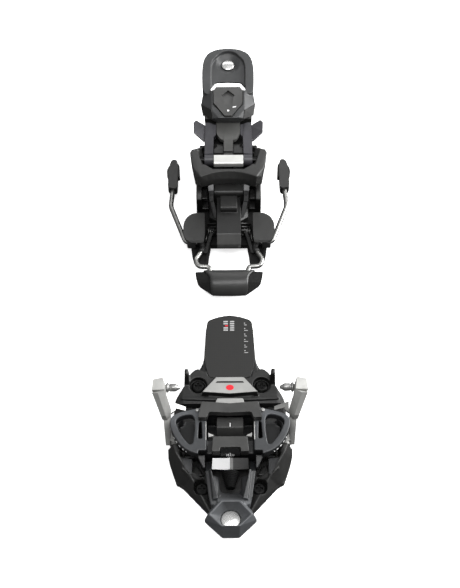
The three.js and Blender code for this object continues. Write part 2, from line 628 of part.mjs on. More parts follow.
function toeUnit() {
  const unit = new THREE.Group();
  unit.position.y = TOE_Y;
  unit.add(toeBase(), tongueCover(), badgePlate(), badgeStrip());
  unit.add(mesh("toe_guide_rod", rod([-35.2, ROD.y, ROD.z], [35.2, ROD.y, ROD.z], ROD.r, ROD.r, 16), STEEL));
  unit.add(toeCarriage(), toeBumper(), stepInPlate(), scaleBracket(), scaleInsert());
  unit.add(releaseYoke(), releaseSleeve(), toeSpring(), toeLever());
  unit.add(mesh("toe_lever_disc", domed(0, DISH_Y, 11.8, DISC_R, 1.6, 1.2), STEEL));
  const { y, z } = LEVER_HINGE;
  unit.add(mesh("toe_lever_axle", rod([-20.8, y, z], [20.8, y, z], 1.9, 1.9, 16), SCREW_STEEL));
  for (const [side, hand] of [[-1, "left"], [1, "right"]]) {
    const { x, z: pivotZ } = ARM_PIVOT;
    const rear = TOE_REAR_SCREW;
    const front = TOE_FRONT_SCREW;
    unit.add(mesh(`toe_screw_rear_${hand}`, screw(side * rear.x, rear.y, rear.seat), SCREW_STEEL));
    unit.add(mesh(`toe_screw_front_${hand}`, screw(side * front.x, front.y, front.seat), SCREW_STEEL));
    unit.add(mesh(`toe_arm_${hand}`, toeArm(side), CAST));
    unit.add(mesh(`toe_pin_${hand}`, toePin(side), STEEL));
    unit.add(mesh(`arm_strap_${hand}`, armStrap(side), STEEL));
    const pivot = rod([side * x, -36.4, pivotZ], [side * x, -13.2, pivotZ], ARM_PIN_R, ARM_PIN_R, 12);
    unit.add(mesh(`arm_pivot_rod_${hand}`, pivot, SCREW_STEEL));
  }
  return unit;
}

// ---- Heel unit: track and carriage --------------------------------------------------
const HEEL_SCREW = { x: 8.8, front: -46, rear: 24, seat: 2.4 };
const BLOCK_TOP = 26;

// The T-shaped track that is screwed to the ski.
function heelTrack() {
  const section = mirrored([[15, 0], [15, 3.2], [18, 3.2], [18, TRACK.top]]);
  const bar = prismY(section, TRACK.front, TRACK.rear);
  const cuts = [];
  for (const side of [-1, 1]) {
    for (const y of [HEEL_SCREW.front, HEEL_SCREW.rear]) {
      cuts.push(screwSeat(side * HEEL_SCREW.x, y, HEEL_SCREW.seat, 8, 5.6));
    }
  }
  cuts.push(box(-2.6, 2.6, TRACK.front - 1, TRACK.rear + 1, 1.4, 8));
  return mesh("heel_track", cut(bar, ...cuts), NYLON);
}

// A low screw that lies wholly inside the track.
function trackScrew(x, y) {
  const top = TRACK.top - 0.5;
  return turned(x, y, [
    [0, GAP], [SCREW_R - GAP, GAP], [SCREW_R - GAP, HEEL_SCREW.seat + GAP], [5.2, HEEL_SCREW.seat + GAP],
    [5.2, top - 0.8], [4.2, top], [2, top], [1.6, top - 1.2], [0, top - 1.2],
  ], 14);
}

// The steel screw that sets the boot length, with a cross-slot head at the tail end.
function lengthScrew() {
  const z = 3.8;
  const shank = rod([0, TRACK.front + 2, z], [0, TRACK.rear + 0.6, z], 1.9, 1.9, 14);
  const head = rod([0, TRACK.rear + 0.5, z], [0, TRACK.rear + 3, z], 2.4, 2.4, 14);
  return mesh("length_screw", join(shank, head), SCREW_STEEL);
}

// Forks that run forward under the brake wires.
function fork(side) {
  const plate = prism(on(side, [
    [14.8, -55, 1], [30.8, -55, 1], [30.4, -60], [29.2, -69.6, 2], [27.6, -74, 3], [24, -77, 3],
    [16.8, -77.9, 2], [16, -68.6], [14.8, -60.6],
  ]), CARRIAGE_Z[0], 8.6);
  const recess = prism(on(side, [
    [17.6, -56, 1], [27, -58.6, 1], [27, -70, 2], [24.6, -73.8, 2], [18.4, -74.6, 2],
  ]), 7.4, 20);
  const rim = prism(on(side, [
    [28.4, -61], [30.3, -61], [29.2, -69.6, 2], [27.6, -74, 3], [24, -77, 3], [17, -77.8, 1], [16.9, -76.2],
    [23.4, -75.2, 3], [26.4, -72.6, 3],
  ]), 8, 9.6);
  return join(cut(plate, recess), rim);
}

function heelCarriage() {
  const [bottom, top] = CARRIAGE_Z;
  const outer = [[15.5, 0.8], [21, 0.8], [21, top]];
  const inner = [[18.4, bottom], [18.4, 2.8], [15.5, 2.8]];
  const flip = (points) => points.map(([x, z]) => [-x, z]).reverse();
  const profile = [...outer, ...flip(outer), ...flip(inner), ...inner];
  const sled = prismY(profile, -58, 24);
  const wings = prism(mirrored([
    [36, -49, 2], [36, -37, 3], [31, -34, 3], [26.3, -33, 1], [26.3, 19, 2], [20, 22, 1],
  ]), 6.6, top);
  return mesh("heel_carriage", join(sled, wings, fork(-1), fork(1)), NYLON);
}

// ---- Heel unit: housing and tower ---------------------------------------------------
const HOUSING_Z = CARRIAGE_Z[1] + GAP;
const BARREL = { z: 29, r: 10.6, bore: 4, rear: 33.5 }; // the release spring's barrel
const TOWER_HALF = 11.5; // half the tower's width
const HOOK_HALF = 3.7; // half the width of the lever's hook

// A prism of a YZ outline between two distances from the middle, on one side.
const prismSide = (side, corners, near, far) =>
  prismX(corners, ...(side > 0 ? [near, far] : [-far, -near]));

function housingSide(side) {
  const wall = prismSide(side, [
    [-25.5, HOUSING_Z], [-24.6, 16], [-23.4, 24], [-19, 27, 2], [-8, 29.6, 2], [16, 34, 4], [20, 30, 3],
    [21, HOUSING_Z],
  ], 22, 26.3);
  const shelf = prismSide(side, [[-22, 21.6], [-22, 23.8, 0.6], [-12, 23.8], [-12, 21.6]], 17, 22.4);
  const foot = prismSide(side, [[-25, HOUSING_Z], [-25, 14], [-12, 16], [-12, HOUSING_Z]], 16.4, 22.4);
  return join(wall, shelf, foot);
}

function heelHousing() {
  const back = prismY([
    [-24, HOUSING_Z], [24, HOUSING_Z], [24, 33, 4], [12, 38, 4], [-12, 38, 4], [-24, 33, 4],
  ], 17.4, 20.6);
  const shroud = prismY([
    [-16, HOUSING_Z], [16, HOUSING_Z], [16, 41, 3], [13, 44.4, 2], [-13, 44.4, 2], [-16, 41, 3],
  ], 17.4, 35);
  const rib = box(-24, 24, 9, 18, HOUSING_Z, 15);
  const hollow = box(-12.2, 12.2, 5, 17.3, HOUSING_Z - 1, 50);
  const barrelGap = rod([0, 17, BARREL.z], [0, 36, BARREL.z], BARREL.r + GAP, BARREL.r + GAP, 28);
  const body = join(housingSide(-1), housingSide(1), back, shroud, rib);
  return mesh("heel_housing", cut(body, hollow, barrelGap), NYLON);
}

// The tower that holds the main axle, slotted for the lever's hook.
function heelTower() {
  const profile = [
    [-21.8, HOUSING_Z], [-21.8, 29, 1], [-20, 31, 1], [-10.6, 31, 1.5], [-8, 40, 2], [-6.8, 47.6, 1.5],
    [-4, 47.7], [4, 47.7, 0.5], [4.2, 50, 0.5], [13.4, 50, 2], [16.4, 46, 3], [16.6, 30, 4],
    [16.6, HOUSING_Z],
  ];
  const body = prismX(profile, -TOWER_HALF, TOWER_HALF);
  const corners = [-1, 1].map((side) => hull(on(side, [
    [TOWER_HALF - 2.6, 20, 50.1], [TOWER_HALF + 1, 20, 50.1], [TOWER_HALF + 1, 20, 46],
    [TOWER_HALF - 2.6, 10.6, 50.1], [TOWER_HALF + 1, 7, 50.1], [TOWER_HALF + 1, 12, 46],
  ])));
  const barrel = rod([0, 14, BARREL.z], [0, BARREL.rear, BARREL.z], BARREL.r, BARREL.r, 28);
  const slotFloor = AXLE.z - 4.4;
  const slotHalf = HOOK_HALF + 0.5;
  const slot = prismX([[-20, slotFloor, 1], [30, slotFloor], [30, 60], [-20, 60]], -slotHalf, slotHalf);
  const bore = rod([-20, 0, AXLE.z], [20, 0, AXLE.z], AXLE.r + GAP);
  const springBore = rod([0, BARREL.bore, BARREL.z], [0, 50, BARREL.z], 7, 7, 24);
  return mesh("heel_tower", cut(join(body, barrel), slot, bore, springBore, ...corners), NYLON);
}

// The screw that sets the release spring's load, sunk in the barrel's open end.
function releaseScrew() {
  const head = rod([0, BARREL.rear - 3, BARREL.z], [0, BARREL.rear + 0.4, BARREL.z], 6.6, 6.6, 24);
  const slot = box(-4.6, 4.6, BARREL.rear - 1.2, BARREL.rear + 1, BARREL.z - 0.7, BARREL.z + 0.7);
  const stem = rod([0, BARREL.rear - 12, BARREL.z], [0, BARREL.rear - 2, BARREL.z], 2.6, 2.6, 12);
  return mesh("heel_release_screw", cut(join(head, stem), slot), STEEL);
}

// The bright cap over the axle, bridging the tower's two cheeks.
function axleCap() {
  const bend = prismX([
    [1.3, 50.3], [1.3, 51.1, 0.3], [-6.4, 51.1, 0.8], [-7.6, 50, 0.5], [-7.6, 46.6], [-7.1, 46.6],
    [-7.1, 49.4], [-6.4, 50.3],
  ], -11.8, 11.8);
  const foot = [[-3.2, 48.9], [-3.2, 50.6], [1.3, 50.6], [1.3, 48.9]];
  const feet = [-1, 1].map((side) => prismSide(side, foot, 5.4, 11.2));
  return mesh("axle_cap", join(bend, ...feet), STEEL);
}

function heelSpring() {
  const wire = 1.1;
  const front = BARREL.bore + wire + GAP;
  const rear = BARREL.rear - 3 - wire - GAP;
  return mesh("heel_spring", coil(0, front, rear, BARREL.z, 5, wire, 5), STEEL);
}

// The centre block in front of the tower, with its small pad.
function heelBlock() {
  const block = prismX([
    [-22.2, HOUSING_Z], [-22.2, BLOCK_TOP], [-58.9, BLOCK_TOP, 1], [-63.9, 18, 1], [-63.9, 13.4],
    [-60, HOUSING_Z],
  ], -9.5, 9.5);
  const corners = [-1, 1].map((side) => prism(on(side, [[9.6, -62], [9.6, -65], [6.2, -65]]), 5, 17));
  const pad = prismX([[-24, 25], [-24, 31, 1], [-36.2, 31, 1], [-37.6, 29, 0.6], [-37.6, 25]], -6.7, 6.7);
  const apron = hull(both([
    [9, -24, 12], [9, -42, 12], [16, -24, 12], [16, -35.5, 12], [9, -24, 19.6], [9, -41, 18.6],
    [15.6, -24, 16], [15.6, -35, 16],
  ]));
  return mesh("heel_block", join(cut(block, ...corners), pad, apron), NYLON);
}

// Rails that enter the boot's heel insert.
function guideRail(side) {
  const top = hull(on(side, [
    [13, -19.8, 40], [16.4, -21, 39], [16, -24, 36.6], [12, -24, 37], [13, -19.8, 33], [16.4, -21, 33],
    [12.2, -26.4, 34], [15.4, -26, 33.6], [12.2, -22.4, 31.5], [16, -22.4, 31.5],
  ]));
  const shank = hull(on(side, [
    [12.4, -22.2, 36], [16, -22.2, 36], [12.4, -22.4, 20], [16, -22.4, 20], [12.2, -29, 30], [15.4, -29, 29],
    [12.2, -29.6, 20], [15.4, -29.6, 20],
  ]));
  const tip = hull(on(side, [
    [12.2, -28, 30], [15.2, -28, 29], [12.2, -28, 20], [15.2, -28, 20], [10.4, -34.6, 24.4],
    [12.6, -34.6, 24],
    [10.2, -38.8, 20.4], [12, -38.6, 20], [10.6, -36, 19.9], [12.4, -36, 19.9],
  ]));
  return mesh(`guide_rail_${side > 0 ? "right" : "left"}`, join(top, shank, tip), NYLON_GREY);
}

function heelPad(side) {
  const plate = prism(on(side, [
    [19.5, -32.8, 1], [29.2, -33.2, 3], [34, -36.9, 4], [36.6, -42.9, 5], [36.7, -53.8, 4], [34.6, -59.4, 4],
    [30.6, -61.7, 2], [20.2, -61.7, 1], [19.3, -54, 1],
  ]), 16.4, 19.4);
  const bevel = hull(on(side, [
    [0, -58.4, 21], [50, -58.4, 21], [0, -63, 16.9], [50, -63, 16.9], [0, -63, 21], [50, -63, 21],
  ]));
  const wireRelief = prismSide(side, [[-64, 16], [-57.2, 16], [-57.2, 17.9], [-64, 17.9]], 18, 26.6);
  const pillar = prism(on(side, [[22.6, -36], [33, -38.5, 2], [33.4, -47.5, 2], [22.6, -50]]), HOUSING_Z, 17);
  const skirt = prism(on(side, [[26.9, -60.3], [33.6, -60.3], [32.8, -61.6], [26.9, -61.6]]), 9.9, 17);
  const body = join(cut(plate, bevel, wireRelief), pillar, skirt);
  return mesh(`heel_pad_${side > 0 ? "right" : "left"}`, body, NYLON);
}

// ---- Jaw ----------------------------------------------------------------------------
const JAW_HORN_X = 22.3;
const lipDepth = (x) => 5.9 * (x / JAW_HORN_X) ** 2;

// The jaw's cross-section at x: a band that falls forward from the top to the lip.
function jawSection(x) {
  const sag = lipDepth(Math.abs(x));
  const rise = 0.25 * Math.abs(x);
  const lipZ = 38 - rise * 0.2;
  return [
    [x, -12.3 - sag * 0.1, JAW_TOP], [x, -14.4 - sag, JAW_TOP], [x, -17.6 - sag * 0.6, 44],
    [x, -18 - sag * 0.5, lipZ], [x, -14.6 - sag * 0.2, lipZ], [x, -11.6 - sag * 0.1, 46],
  ];
}

function heelJaw() {
  const stations = [-22.3, -16.7, -11.1, -5.6, 0, 5.6, 11.1, 16.7, 22.3];
  const band = stations.slice(1).map((x, i) => hull([...jawSection(stations[i]), ...jawSection(x)]));
  const cheeks = [-1, 1].map((side) => {
    const shell = hull(on(side, [
      [21.8, 10.5, JAW_TOP], [29.9, 7.9, JAW_TOP], [31.2, 5.2, JAW_TOP - 0.4], [28.6, -10, JAW_TOP - 0.6],
      [26.4, -17.6, 46], [22.2, -20.3, JAW_TOP], [20.4, 5.4, JAW_TOP], [20.4, -6, JAW_TOP], [20.4, -19, 40],
      [22.2, -21, 42], [20.4, 6.5, 41], [28.6, 5, 41], [29.8, -3.3, 42], [26.6, -17.5, 36],
      [22.4, -18.6, 36.4], [20.4, -16, 37], [20.4, -2, 40],
    ]));
    const web = hull(on(side, [
      [20.6, -6.4, JAW_TOP], [12.8, -11.9, JAW_TOP], [12.8, -14, JAW_TOP], [20.6, -18, JAW_TOP],
      [20.6, -7.6, 45], [12.8, -12.5, 45], [12.8, -14, 45], [20.6, -16, 45],
    ]));
    const innerFacet = hull(on(side, [
      [20, 9.4, 50.2], [26, 8.8, 50.2], [21.6, -8, 50.2], [20, -8, 50.2], [20, 7, 45], [20, -4.6, 46],
    ]));
    return cut(join(shell, web), innerFacet);
  });
  const bore = rod([-40, 0, AXLE.z], [28.2, 0, AXLE.z], AXLE.r + GAP);
  const boreRight = rod([-28.2, 0, AXLE.z], [40, 0, AXLE.z], AXLE.r + GAP);
  return mesh("heel_jaw", cut(join(...band, ...cheeks), bore.intersect(boreRight)), NYLON);
}

// ---- Heel lever ---------------------------------------------------------------------
const LEVER_SLOPE = 0.1; // rise of the open lever towards the tail
const LEVER_ORIGIN = { y: 66, z: 65 }; // a point on the loop's top face

// Leans a flat solid along the lever's slope.
function lean(body) {
  const { y, z } = LEVER_ORIGIN;
  return body.transform([1, 0, 0, 0, 0, 1, LEVER_SLOPE, 0, 0, 0, 1, 0, 0, 0, z - LEVER_SLOPE * y, 1]);
}

const LEVER_DISH_Y = 89;
const LOOP_EDGE = [
  [18.4, 55.4, 1], [20.8, 58.6, 3], [21.5, 69.7, 8], [21.4, 83, 8], [19.8, 92.4, 7], [15.4, 98.6, 6],
  [8, 101.6, 6], [0.01, 102.2],
];

function heelLever() {
  const loop = lean(prism(mirrored(LOOP_EDGE), -9, 0));
  const block = hull(both([
    [13.4, 54, 65.4], [13.2, 37.2, 64.5], [22.2, 49.5, 58.4], [21.4, 57.4, 58.8], [14.6, 59.4, 64.5],
    [7.6, 30.2, 62.8], [12.3, 31.4, 60.4], [20.4, 40.2, 54.8], [11, 32.8, 56.8], [9, 32.8, 54.2],
    [18.4, 38, 53.6], [19, 48, 53], [18, 58, 55.4],
  ]));
  const cheeks = [-1, 1].map((side) => hull(on(side, [
    [10, 36.8, 55], [19.3, 36.8, 55], [19.3, 43, 55], [10, 43, 55], [10, 37.6, 47.6], [19.3, 37.6, 47.6],
    [19.3, 41, 47.6], [10, 41, 47.6],
  ])));
  const opening = prism(mirrored([[14.2, 57.8], [14.2, 64, 1], [10.4, 69.4, 1], [0.01, 70]]), 40, 80);
  const coverShadow = prism(mirrored([
    [0.01, 61], [9.9, 61], [14.2, 58], [14.2, 70], [0.01, 70],
  ]), 40, 80);
  const recess = lean(prism(mirrored([
    [14.1, 64.6], [14.1, 84, 4], [13, 90, 5], [9.4, 94.6, 4], [4, 96.4, 3], [0.01, 96.6],
  ]), -3.2, 3));
  const bowl = lean(turned(0, LEVER_DISH_Y, [
    [0, -6], [5.7, -6], [6.2, -5.4], [10.6, -3], [10.6, 4], [0, 4],
  ]));
  const under = lean(prism(mirrored([[14.6, 60, 1], [14.6, 82, 6], [9, 94, 5], [0.01, 95]]), -12, -5));
  const dishBack = lean(turned(0, LEVER_DISH_Y, [[0, -8], [7.6, -8], [9.4, -4.4], [0, -4.4]], 20));
  const rearLoop = cut(join(cut(loop, opening, recess, under), dishBack), bowl);
  const body = join(rearLoop, cut(join(block, ...cheeks), coverShadow));
  const hingeGap = rod([-30, 0, AXLE.z], [30, 0, AXLE.z], 24, 24, 12);
  return mesh("heel_lever", cut(body, hingeGap, leverCoverSolid(GAP)), NYLON_GREY);
}

// The pentagonal cover on the lever's block; grow makes it thicker all round to cut its seat.
function leverCoverSolid(grow) {
  const thick = 3.4;
  const top = both([[9.8, 60, 67], [11.9, 56.2, 67], [11.7, 43.4, 66.2], [2.8, 31.4, 64.2]]);
  const wide = top.map(([x, y, z]) => [x + Math.sign(x) * grow, y + grow * (y > 50 ? 1 : -1), z]);
  const low = wide.map(([x, y, z]) => [x, y, z - thick - grow]);
  return hull([...wide.map(([x, y, z]) => [x, y, z + grow * 4]), ...low]);
}

function leverCover() {
  const house = prism(mirrored([[3.2, 41.8], [4.2, 49.4], [5.6, 51], [0.01, 56.4]]), 64.8, 70);
  return mesh("lever_cover", cut(leverCoverSolid(0), house), NYLON_GREY);
}

// The neck and hook that reach from under the lever's block to the main axle.
function leverHook() {
  const neck = prism(mirrored([[9.6, 36.6, 1], [9.6, 21, 4], [5.9, 15, 2], [0.01, 14.4]]), 50.4, 53.6);
  const finger = prismX([
    [22, 51], [22, 53.4], [17.2, 54], [4.7, 51.8, 1], [4.7, 50.8], [8, 49], [20, 50],
  ], -HOOK_HALF, HOOK_HALF);
  const web = hull(both([
    [HOOK_HALF, 12, 51], [HOOK_HALF, 19, 51], [HOOK_HALF, 2, 43.4], [HOOK_HALF, 3, 47.1], [HOOK_HALF, 8, 46],
  ]));
  const eye = rod([-HOOK_HALF, 0, AXLE.z], [HOOK_HALF, 0, AXLE.z], 3.9, 3.9, 20);
  const bore = rod([-10, 0, AXLE.z], [10, 0, AXLE.z], AXLE.r + GAP);
  return mesh("lever_hook", cut(join(neck, finger, web, eye), bore), NYLON_GREY);
}

// ---- Climbing aid -------------------------------------------------------------------
function riserArm(side) {
  const arm = hull(on(side, [
    [12.2, 3, 50.6], [19.2, 3, 50], [11.9, 17, 53], [13, 31.4, 54.4], [15.4, 32.2, 54.8], [18.6, 32.2, 54.8],
    [18.8, 29, 54.4], [19.4, 14, 50.8], [12.2, 5, 46], [19.2, 5, 46], [13, 30, 50.6], [18.6, 32, 51],
    [18.8, 20, 49.2],
  ]));
  const wing = hull(on(side, [
    [18, 29.6, 53.6], [26.2, 34, 56], [27, 26, 55.4], [20, 16.6, 51.2], [18, 15, 50.6], [18, 29, 51],
    [26.2, 34, 54], [27, 26, 53.4], [20, 16.6, 49.4],
  ]));
  const inner = hull(on(side, [
    [9.9, 21, 52.8], [9.9, 30.6, 54], [14, 31.6, 54], [14, 17, 52.4], [9.9, 21, 48], [9.9, 30.6, 50],
    [14, 31.6, 50], [14, 18, 47],
  ]));
  const hub = rod([side * 12.2, 0, AXLE.z], [side * 19.2, 0, AXLE.z], 4.8, 4.8, 20);
  const bore = rod([side * 5, 0, AXLE.z], [side * 25, 0, AXLE.z], AXLE.r + GAP);
  return mesh(`riser_arm_${side > 0 ? "right" : "left"}`, cut(join(arm, inner, wing, hub), bore), NYLON_WARM);
}

// ---- Ski brake ----------------------------------------------------------------------
function wirePath(side) {
  const { y, z } = BRAKE_PIVOT;
  return on(side, [
    [BRAKE_X, 18.6, 14], [BRAKE_X, 5, 14], [46.2, -8, 14], [46.8, -20, 14], [46.2, -25, 14], [42.8, -36, 14],
    [38.8, -47.6, 13.4], [36.6, -54, 12.4], [32, y, z], [26, y, z], [22.4, y - 1.6, z], [21.4, -63, 10.3],
    [24.2, -70.6, 11.4], [26, -75.4, 12], [23.4, -80.2, 12], [17.6, -81, 12], [14.6, -84, 11.4],
    [14.2, -91, 10.6],
  ]);
}

// A moulded tip with a raised stem and a low ear on each side of it.
function brakeEnd(side) {
  const stem = prism(on(side, [
    [43.8, -6.8, 1], [49, -6, 1.5], [50.2, -3, 1], [50, 8], [49.4, 18, 2], [47.4, 23.8, 2], [43.2, 23.9, 2],
    [42, 18, 2], [42.2, 0], [42.4, -5, 1],
  ]), 9.8, 18.4);
  const ears = prism(on(side, [
    [49.6, 6.6, 1], [51.6, 11, 2], [51.2, 16.6, 2], [48.4, 21, 2], [43.4, 22.6, 2], [41, 20, 1.5],
    [40.4, 7.6, 0.5], [43, 6.8],
  ]), 10.6, 15.8);
  const bore = rod([side * BRAKE_X, -10, 14], [side * BRAKE_X, 20, 14], WIRE_R + 0.55, WIRE_R + 0.55, 12);
  return mesh(`brake_end_${side > 0 ? "right" : "left"}`, cut(join(stem, ears), bore), NYLON);
}

function brakePedal() {
  const rear = hull(both([
    [20, -84.3, 12.8], [0, -85.3, 13.8], [14.4, -94, 15], [19.8, -84.6, 9], [0, -85.6, 9], [14, -95, 6.4],
  ]));
  const front = hull(both([
    [14.4, -94, 15], [13.6, -101, 12], [10.4, -103.2, 6.4], [0, -103.6, 6.6], [10.4, -102.6, 5],
    [14, -95, 6.4],
  ]));
  const channels = [-1, 1].map((side) =>
    rod([side * 14.5, -80, 11.6], [side * 14.1, -91.8, 10.5], WIRE_R + 0.7, WIRE_R + 0.7, 12));
  return mesh("brake_pedal", cut(join(rear, front), ...channels), NYLON);
}

function pedalWing(side) {
  const wing = hull(on(side, [
    [19.6, -85, 13], [26.6, -85.8, 12], [25, -93, 10], [23.4, -96, 8.6], [14.4, -101.2, 11.2],
    [15, -94.4, 14.4],
    [19.6, -85.2, 9.4], [26.3, -86, 9.4], [23.2, -96.2, 6.6], [14.2, -101, 7.4], [15, -95, 6.8],
  ]));
  const pedalEdge = prism(mirrored([
    [20.4, -83], [20.3, -84.5], [14.8, -94], [13.95, -101.2], [10.6, -104.5], [0.01, -104.5],
  ].reverse()), 0, 20);
  return mesh(`pedal_wing_${side > 0 ? "right" : "left"}`, cut(wing, pedalEdge), RUBBER);
}

function heelUnit() {
  const unit = new THREE.Group();
  unit.position.y = HEEL_Y;
  unit.add(heelTrack(), lengthScrew(), heelCarriage(), heelHousing(), heelTower(), axleCap(), heelSpring());
  unit.add(releaseScrew());
  unit.add(heelBlock(), heelJaw(), heelLever(), leverCover(), leverHook(), brakePedal());
  unit.add(mesh("heel_lever_disc", lean(domed(0, LEVER_DISH_Y, -5.7, 5.3, 1, 1.1)), STEEL));
  unit.add(mesh("main_axle", rod([-28, 0, AXLE.z], [28, 0, AXLE.z], AXLE.r, AXLE.r, 20), SCREW_STEEL));
  for (const [side, hand] of [[-1, "left"], [1, "right"]]) {
    const { x, front, rear } = HEEL_SCREW;
    unit.add(mesh(`heel_screw_front_${hand}`, trackScrew(side * x, front), SCREW_STEEL));
    unit.add(mesh(`heel_screw_rear_${hand}`, trackScrew(side * x, rear), SCREW_STEEL));
    unit.add(heelPad(side), guideRail(side), riserArm(side), brakeEnd(side), pedalWing(side));
    unit.add(mesh(`brake_wire_${hand}`, tube(wirePath(side), WIRE_R, 40), STEEL));
  }
  return unit;
}

const binding = new THREE.Group();
binding.add(toeUnit(), heelUnit());
export default binding;
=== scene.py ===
"""Looks for a ski touring binding: a toe unit and a heel unit, in metres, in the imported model's frame."""

import math

import bmesh
import bpy
from mathutils import Matrix, Vector


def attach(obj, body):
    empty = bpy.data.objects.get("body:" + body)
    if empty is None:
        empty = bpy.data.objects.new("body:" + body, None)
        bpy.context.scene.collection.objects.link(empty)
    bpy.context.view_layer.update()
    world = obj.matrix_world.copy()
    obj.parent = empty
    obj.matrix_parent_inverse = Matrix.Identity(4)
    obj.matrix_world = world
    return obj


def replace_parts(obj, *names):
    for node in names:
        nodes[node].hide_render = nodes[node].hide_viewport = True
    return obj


MM = 0.001
TOE_Y = -101.1  # pin line of the toe unit
HEEL_Y = 101.1  # main axle of the heel unit
SIDES = ((-1, "left"), (1, "right"))

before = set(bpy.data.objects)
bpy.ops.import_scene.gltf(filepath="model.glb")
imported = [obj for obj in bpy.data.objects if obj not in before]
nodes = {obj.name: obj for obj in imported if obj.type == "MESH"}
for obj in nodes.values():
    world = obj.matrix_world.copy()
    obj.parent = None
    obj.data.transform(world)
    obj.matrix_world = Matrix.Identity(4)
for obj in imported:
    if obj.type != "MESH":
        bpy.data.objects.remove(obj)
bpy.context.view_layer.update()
scene = bpy.context.scene


# ---- Placing ------------------------------------------------------------------------
def toe(x, y, z):
    """A point of the toe unit, from millimetres to the row frame's metres."""
    return Vector((x, y + TOE_Y, z)) * MM


def heel(x, y, z):
    """A point of the heel unit, from millimetres to the row frame's metres."""
    return Vector((x, y + HEEL_Y, z)) * MM


# ---- Materials ----------------------------------------------------------------------
MIX_A, MIX_B, MIX_RESULT = 6, 7, 2  # a Mix node's colour sockets
GRIP_CELL_MM = 0.9
TWILL_MM = 1.5


class Shader:
    """A material's node tree with a Principled shader, and short ways to add nodes."""

    def __init__(self, name, color, roughness, metallic=0.0):
        self.material = bpy.data.materials.new(name)
        self.material.use_nodes = True
        self.tree = self.material.node_tree
        self.bsdf = self.tree.nodes["Principled BSDF"]
        self.bsdf.inputs["Base Color"].default_value = (*color, 1)
        self.bsdf.inputs["Roughness"].default_value = roughness
        self.bsdf.inputs["Metallic"].default_value = metallic
        self.coords = self.node("ShaderNodeTexCoord").outputs["Object"]
        self.color = color

    def node(self, kind, **values):
        made = self.tree.nodes.new(kind)
        for key, value in values.items():
            if hasattr(made, key):
                setattr(made, key, value)
            else:
                made.inputs[key].default_value = value
        return made

    def link(self, out, into):
        self.tree.links.new(out, into)

    def noise(self, size_mm, detail=2.0, stretch=(1, 1, 1)):
        """A noise whose cells are about size_mm across."""
        mapping = self.node("ShaderNodeMapping")
        mapping.inputs["Scale"].default_value = stretch
        self.link(self.coords, mapping.inputs["Vector"])
        noise = self.node("ShaderNodeTexNoise", Scale=1000 / size_mm, Detail=detail)
        self.link(mapping.outputs["Vector"], noise.inputs["Vector"])
        return noise.outputs["Fac"]

    def math(self, operation, a, b=0.0):
        made = self.node("ShaderNodeMath", operation=operation)
        for socket, value in zip(made.inputs, (a, b)):
            if isinstance(value, (int, float)):
                socket.default_value = value
            else:
                self.link(value, socket)
        return made.outputs[0]

    def spread(self, value, low, high, start=0.3, end=0.7):
        """value, stretched from start..end to low..high."""
        made = self.node("ShaderNodeMapRange")
        self.link(value, made.inputs["Value"])
        for key, number in (("From Min", start), ("From Max", end), ("To Min", low), ("To Max", high)):
            made.inputs[key].default_value = number
        return made.outputs["Result"]

    def tint(self, factor, dark, light):
        """As factor goes from 0 to 1, the base colour goes from dark to light times the plain one."""
        mix = self.node("ShaderNodeMix", data_type="RGBA")
        self.link(factor, mix.inputs[0])
        mix.inputs[MIX_A].default_value = (*(c * dark for c in self.color), 1)
        mix.inputs[MIX_B].default_value = (*(c * light for c in self.color), 1)
        self.link(mix.outputs[MIX_RESULT], self.bsdf.inputs["Base Color"])

    def blend(self, how, a, b):
        """Two colours put together in full by a blend type."""
        mix = self.node("ShaderNodeMix", data_type="RGBA", blend_type=how)
        mix.inputs[0].default_value = 1
        self.link(a, mix.inputs[MIX_A])
        self.link(b, mix.inputs[MIX_B])
        return mix.outputs[MIX_RESULT]

    def ramp(self, axis, stops):
        """A grey that follows (mm, grey) stops along the row frame's axis."""
        split = self.node("ShaderNodeSeparateXYZ")
        self.link(self.coords, split.inputs[0])
        low, high = stops[0][0], stops[-1][0]
        along = self.spread(split.outputs[axis], 0, 1, low * MM, high * MM)
        ramp = self.node("ShaderNodeValToRGB")
        self.link(along, ramp.inputs["Fac"])
        points = ramp.color_ramp.elements
        points[0].color = (*(stops[0][1],) * 3, 1)
        points[1].color = (*(stops[-1][1],) * 3, 1)
        for place, grey in stops[1:-1]:
            points.new((place - low) / (high - low)).color = (grey, grey, grey, 1)
        return ramp.outputs["Color"]

    def shade(self, painted_light_bands):
        """Paints light and shade: multiplies the base colour by the sum of some ramps, each (axis, stops)."""
        into = self.bsdf.inputs["Base Color"]
        total = None
        for axis, stops in painted_light_bands:
            grey = self.ramp(axis, stops)
            total = grey if total is None else self.blend("ADD", total, grey)
        self.link(self.blend("MULTIPLY", into.links[0].from_socket, total), into)

    def rough(self, value):
        self.link(value, self.bsdf.inputs["Roughness"])

    def bump(self, height, strength, distance_mm):
        bump = self.node("ShaderNodeBump", Strength=strength, Distance=distance_mm * MM)
        self.link(height, bump.inputs["Height"])
        self.link(bump.outputs["Normal"], self.bsdf.inputs["Normal"])


def moulded(name, color, roughness, bump=0.35, painted_light_bands=None, painted_light_ramp=None, specular=0.4):
    """Glass-filled moulded nylon: a fine spark-eroded grain and a slow change of tone.

    The colour is multiplied by the sum of the bands, and then by a single further band: both are painted
    light and shade, grey ramps along the object's axes.
    """
    s = Shader(name, color, roughness)
    grain = s.noise(0.45, 3)
    slow = s.noise(14, 2)
    s.tint(s.spread(slow, 0, 1), 0.86, 1.14)
    s.rough(s.spread(s.noise(5, 3), roughness - 0.05, roughness + 0.07))
    s.bump(grain, bump, 0.05)
    s.bsdf.inputs["Specular IOR Level"].default_value = specular
    # painted light and shade: grey ramps along the axes lighten or darken the colour
    if painted_light_bands:
        s.shade(painted_light_bands)
    if painted_light_ramp:
        s.shade([painted_light_ramp])
    return s.material


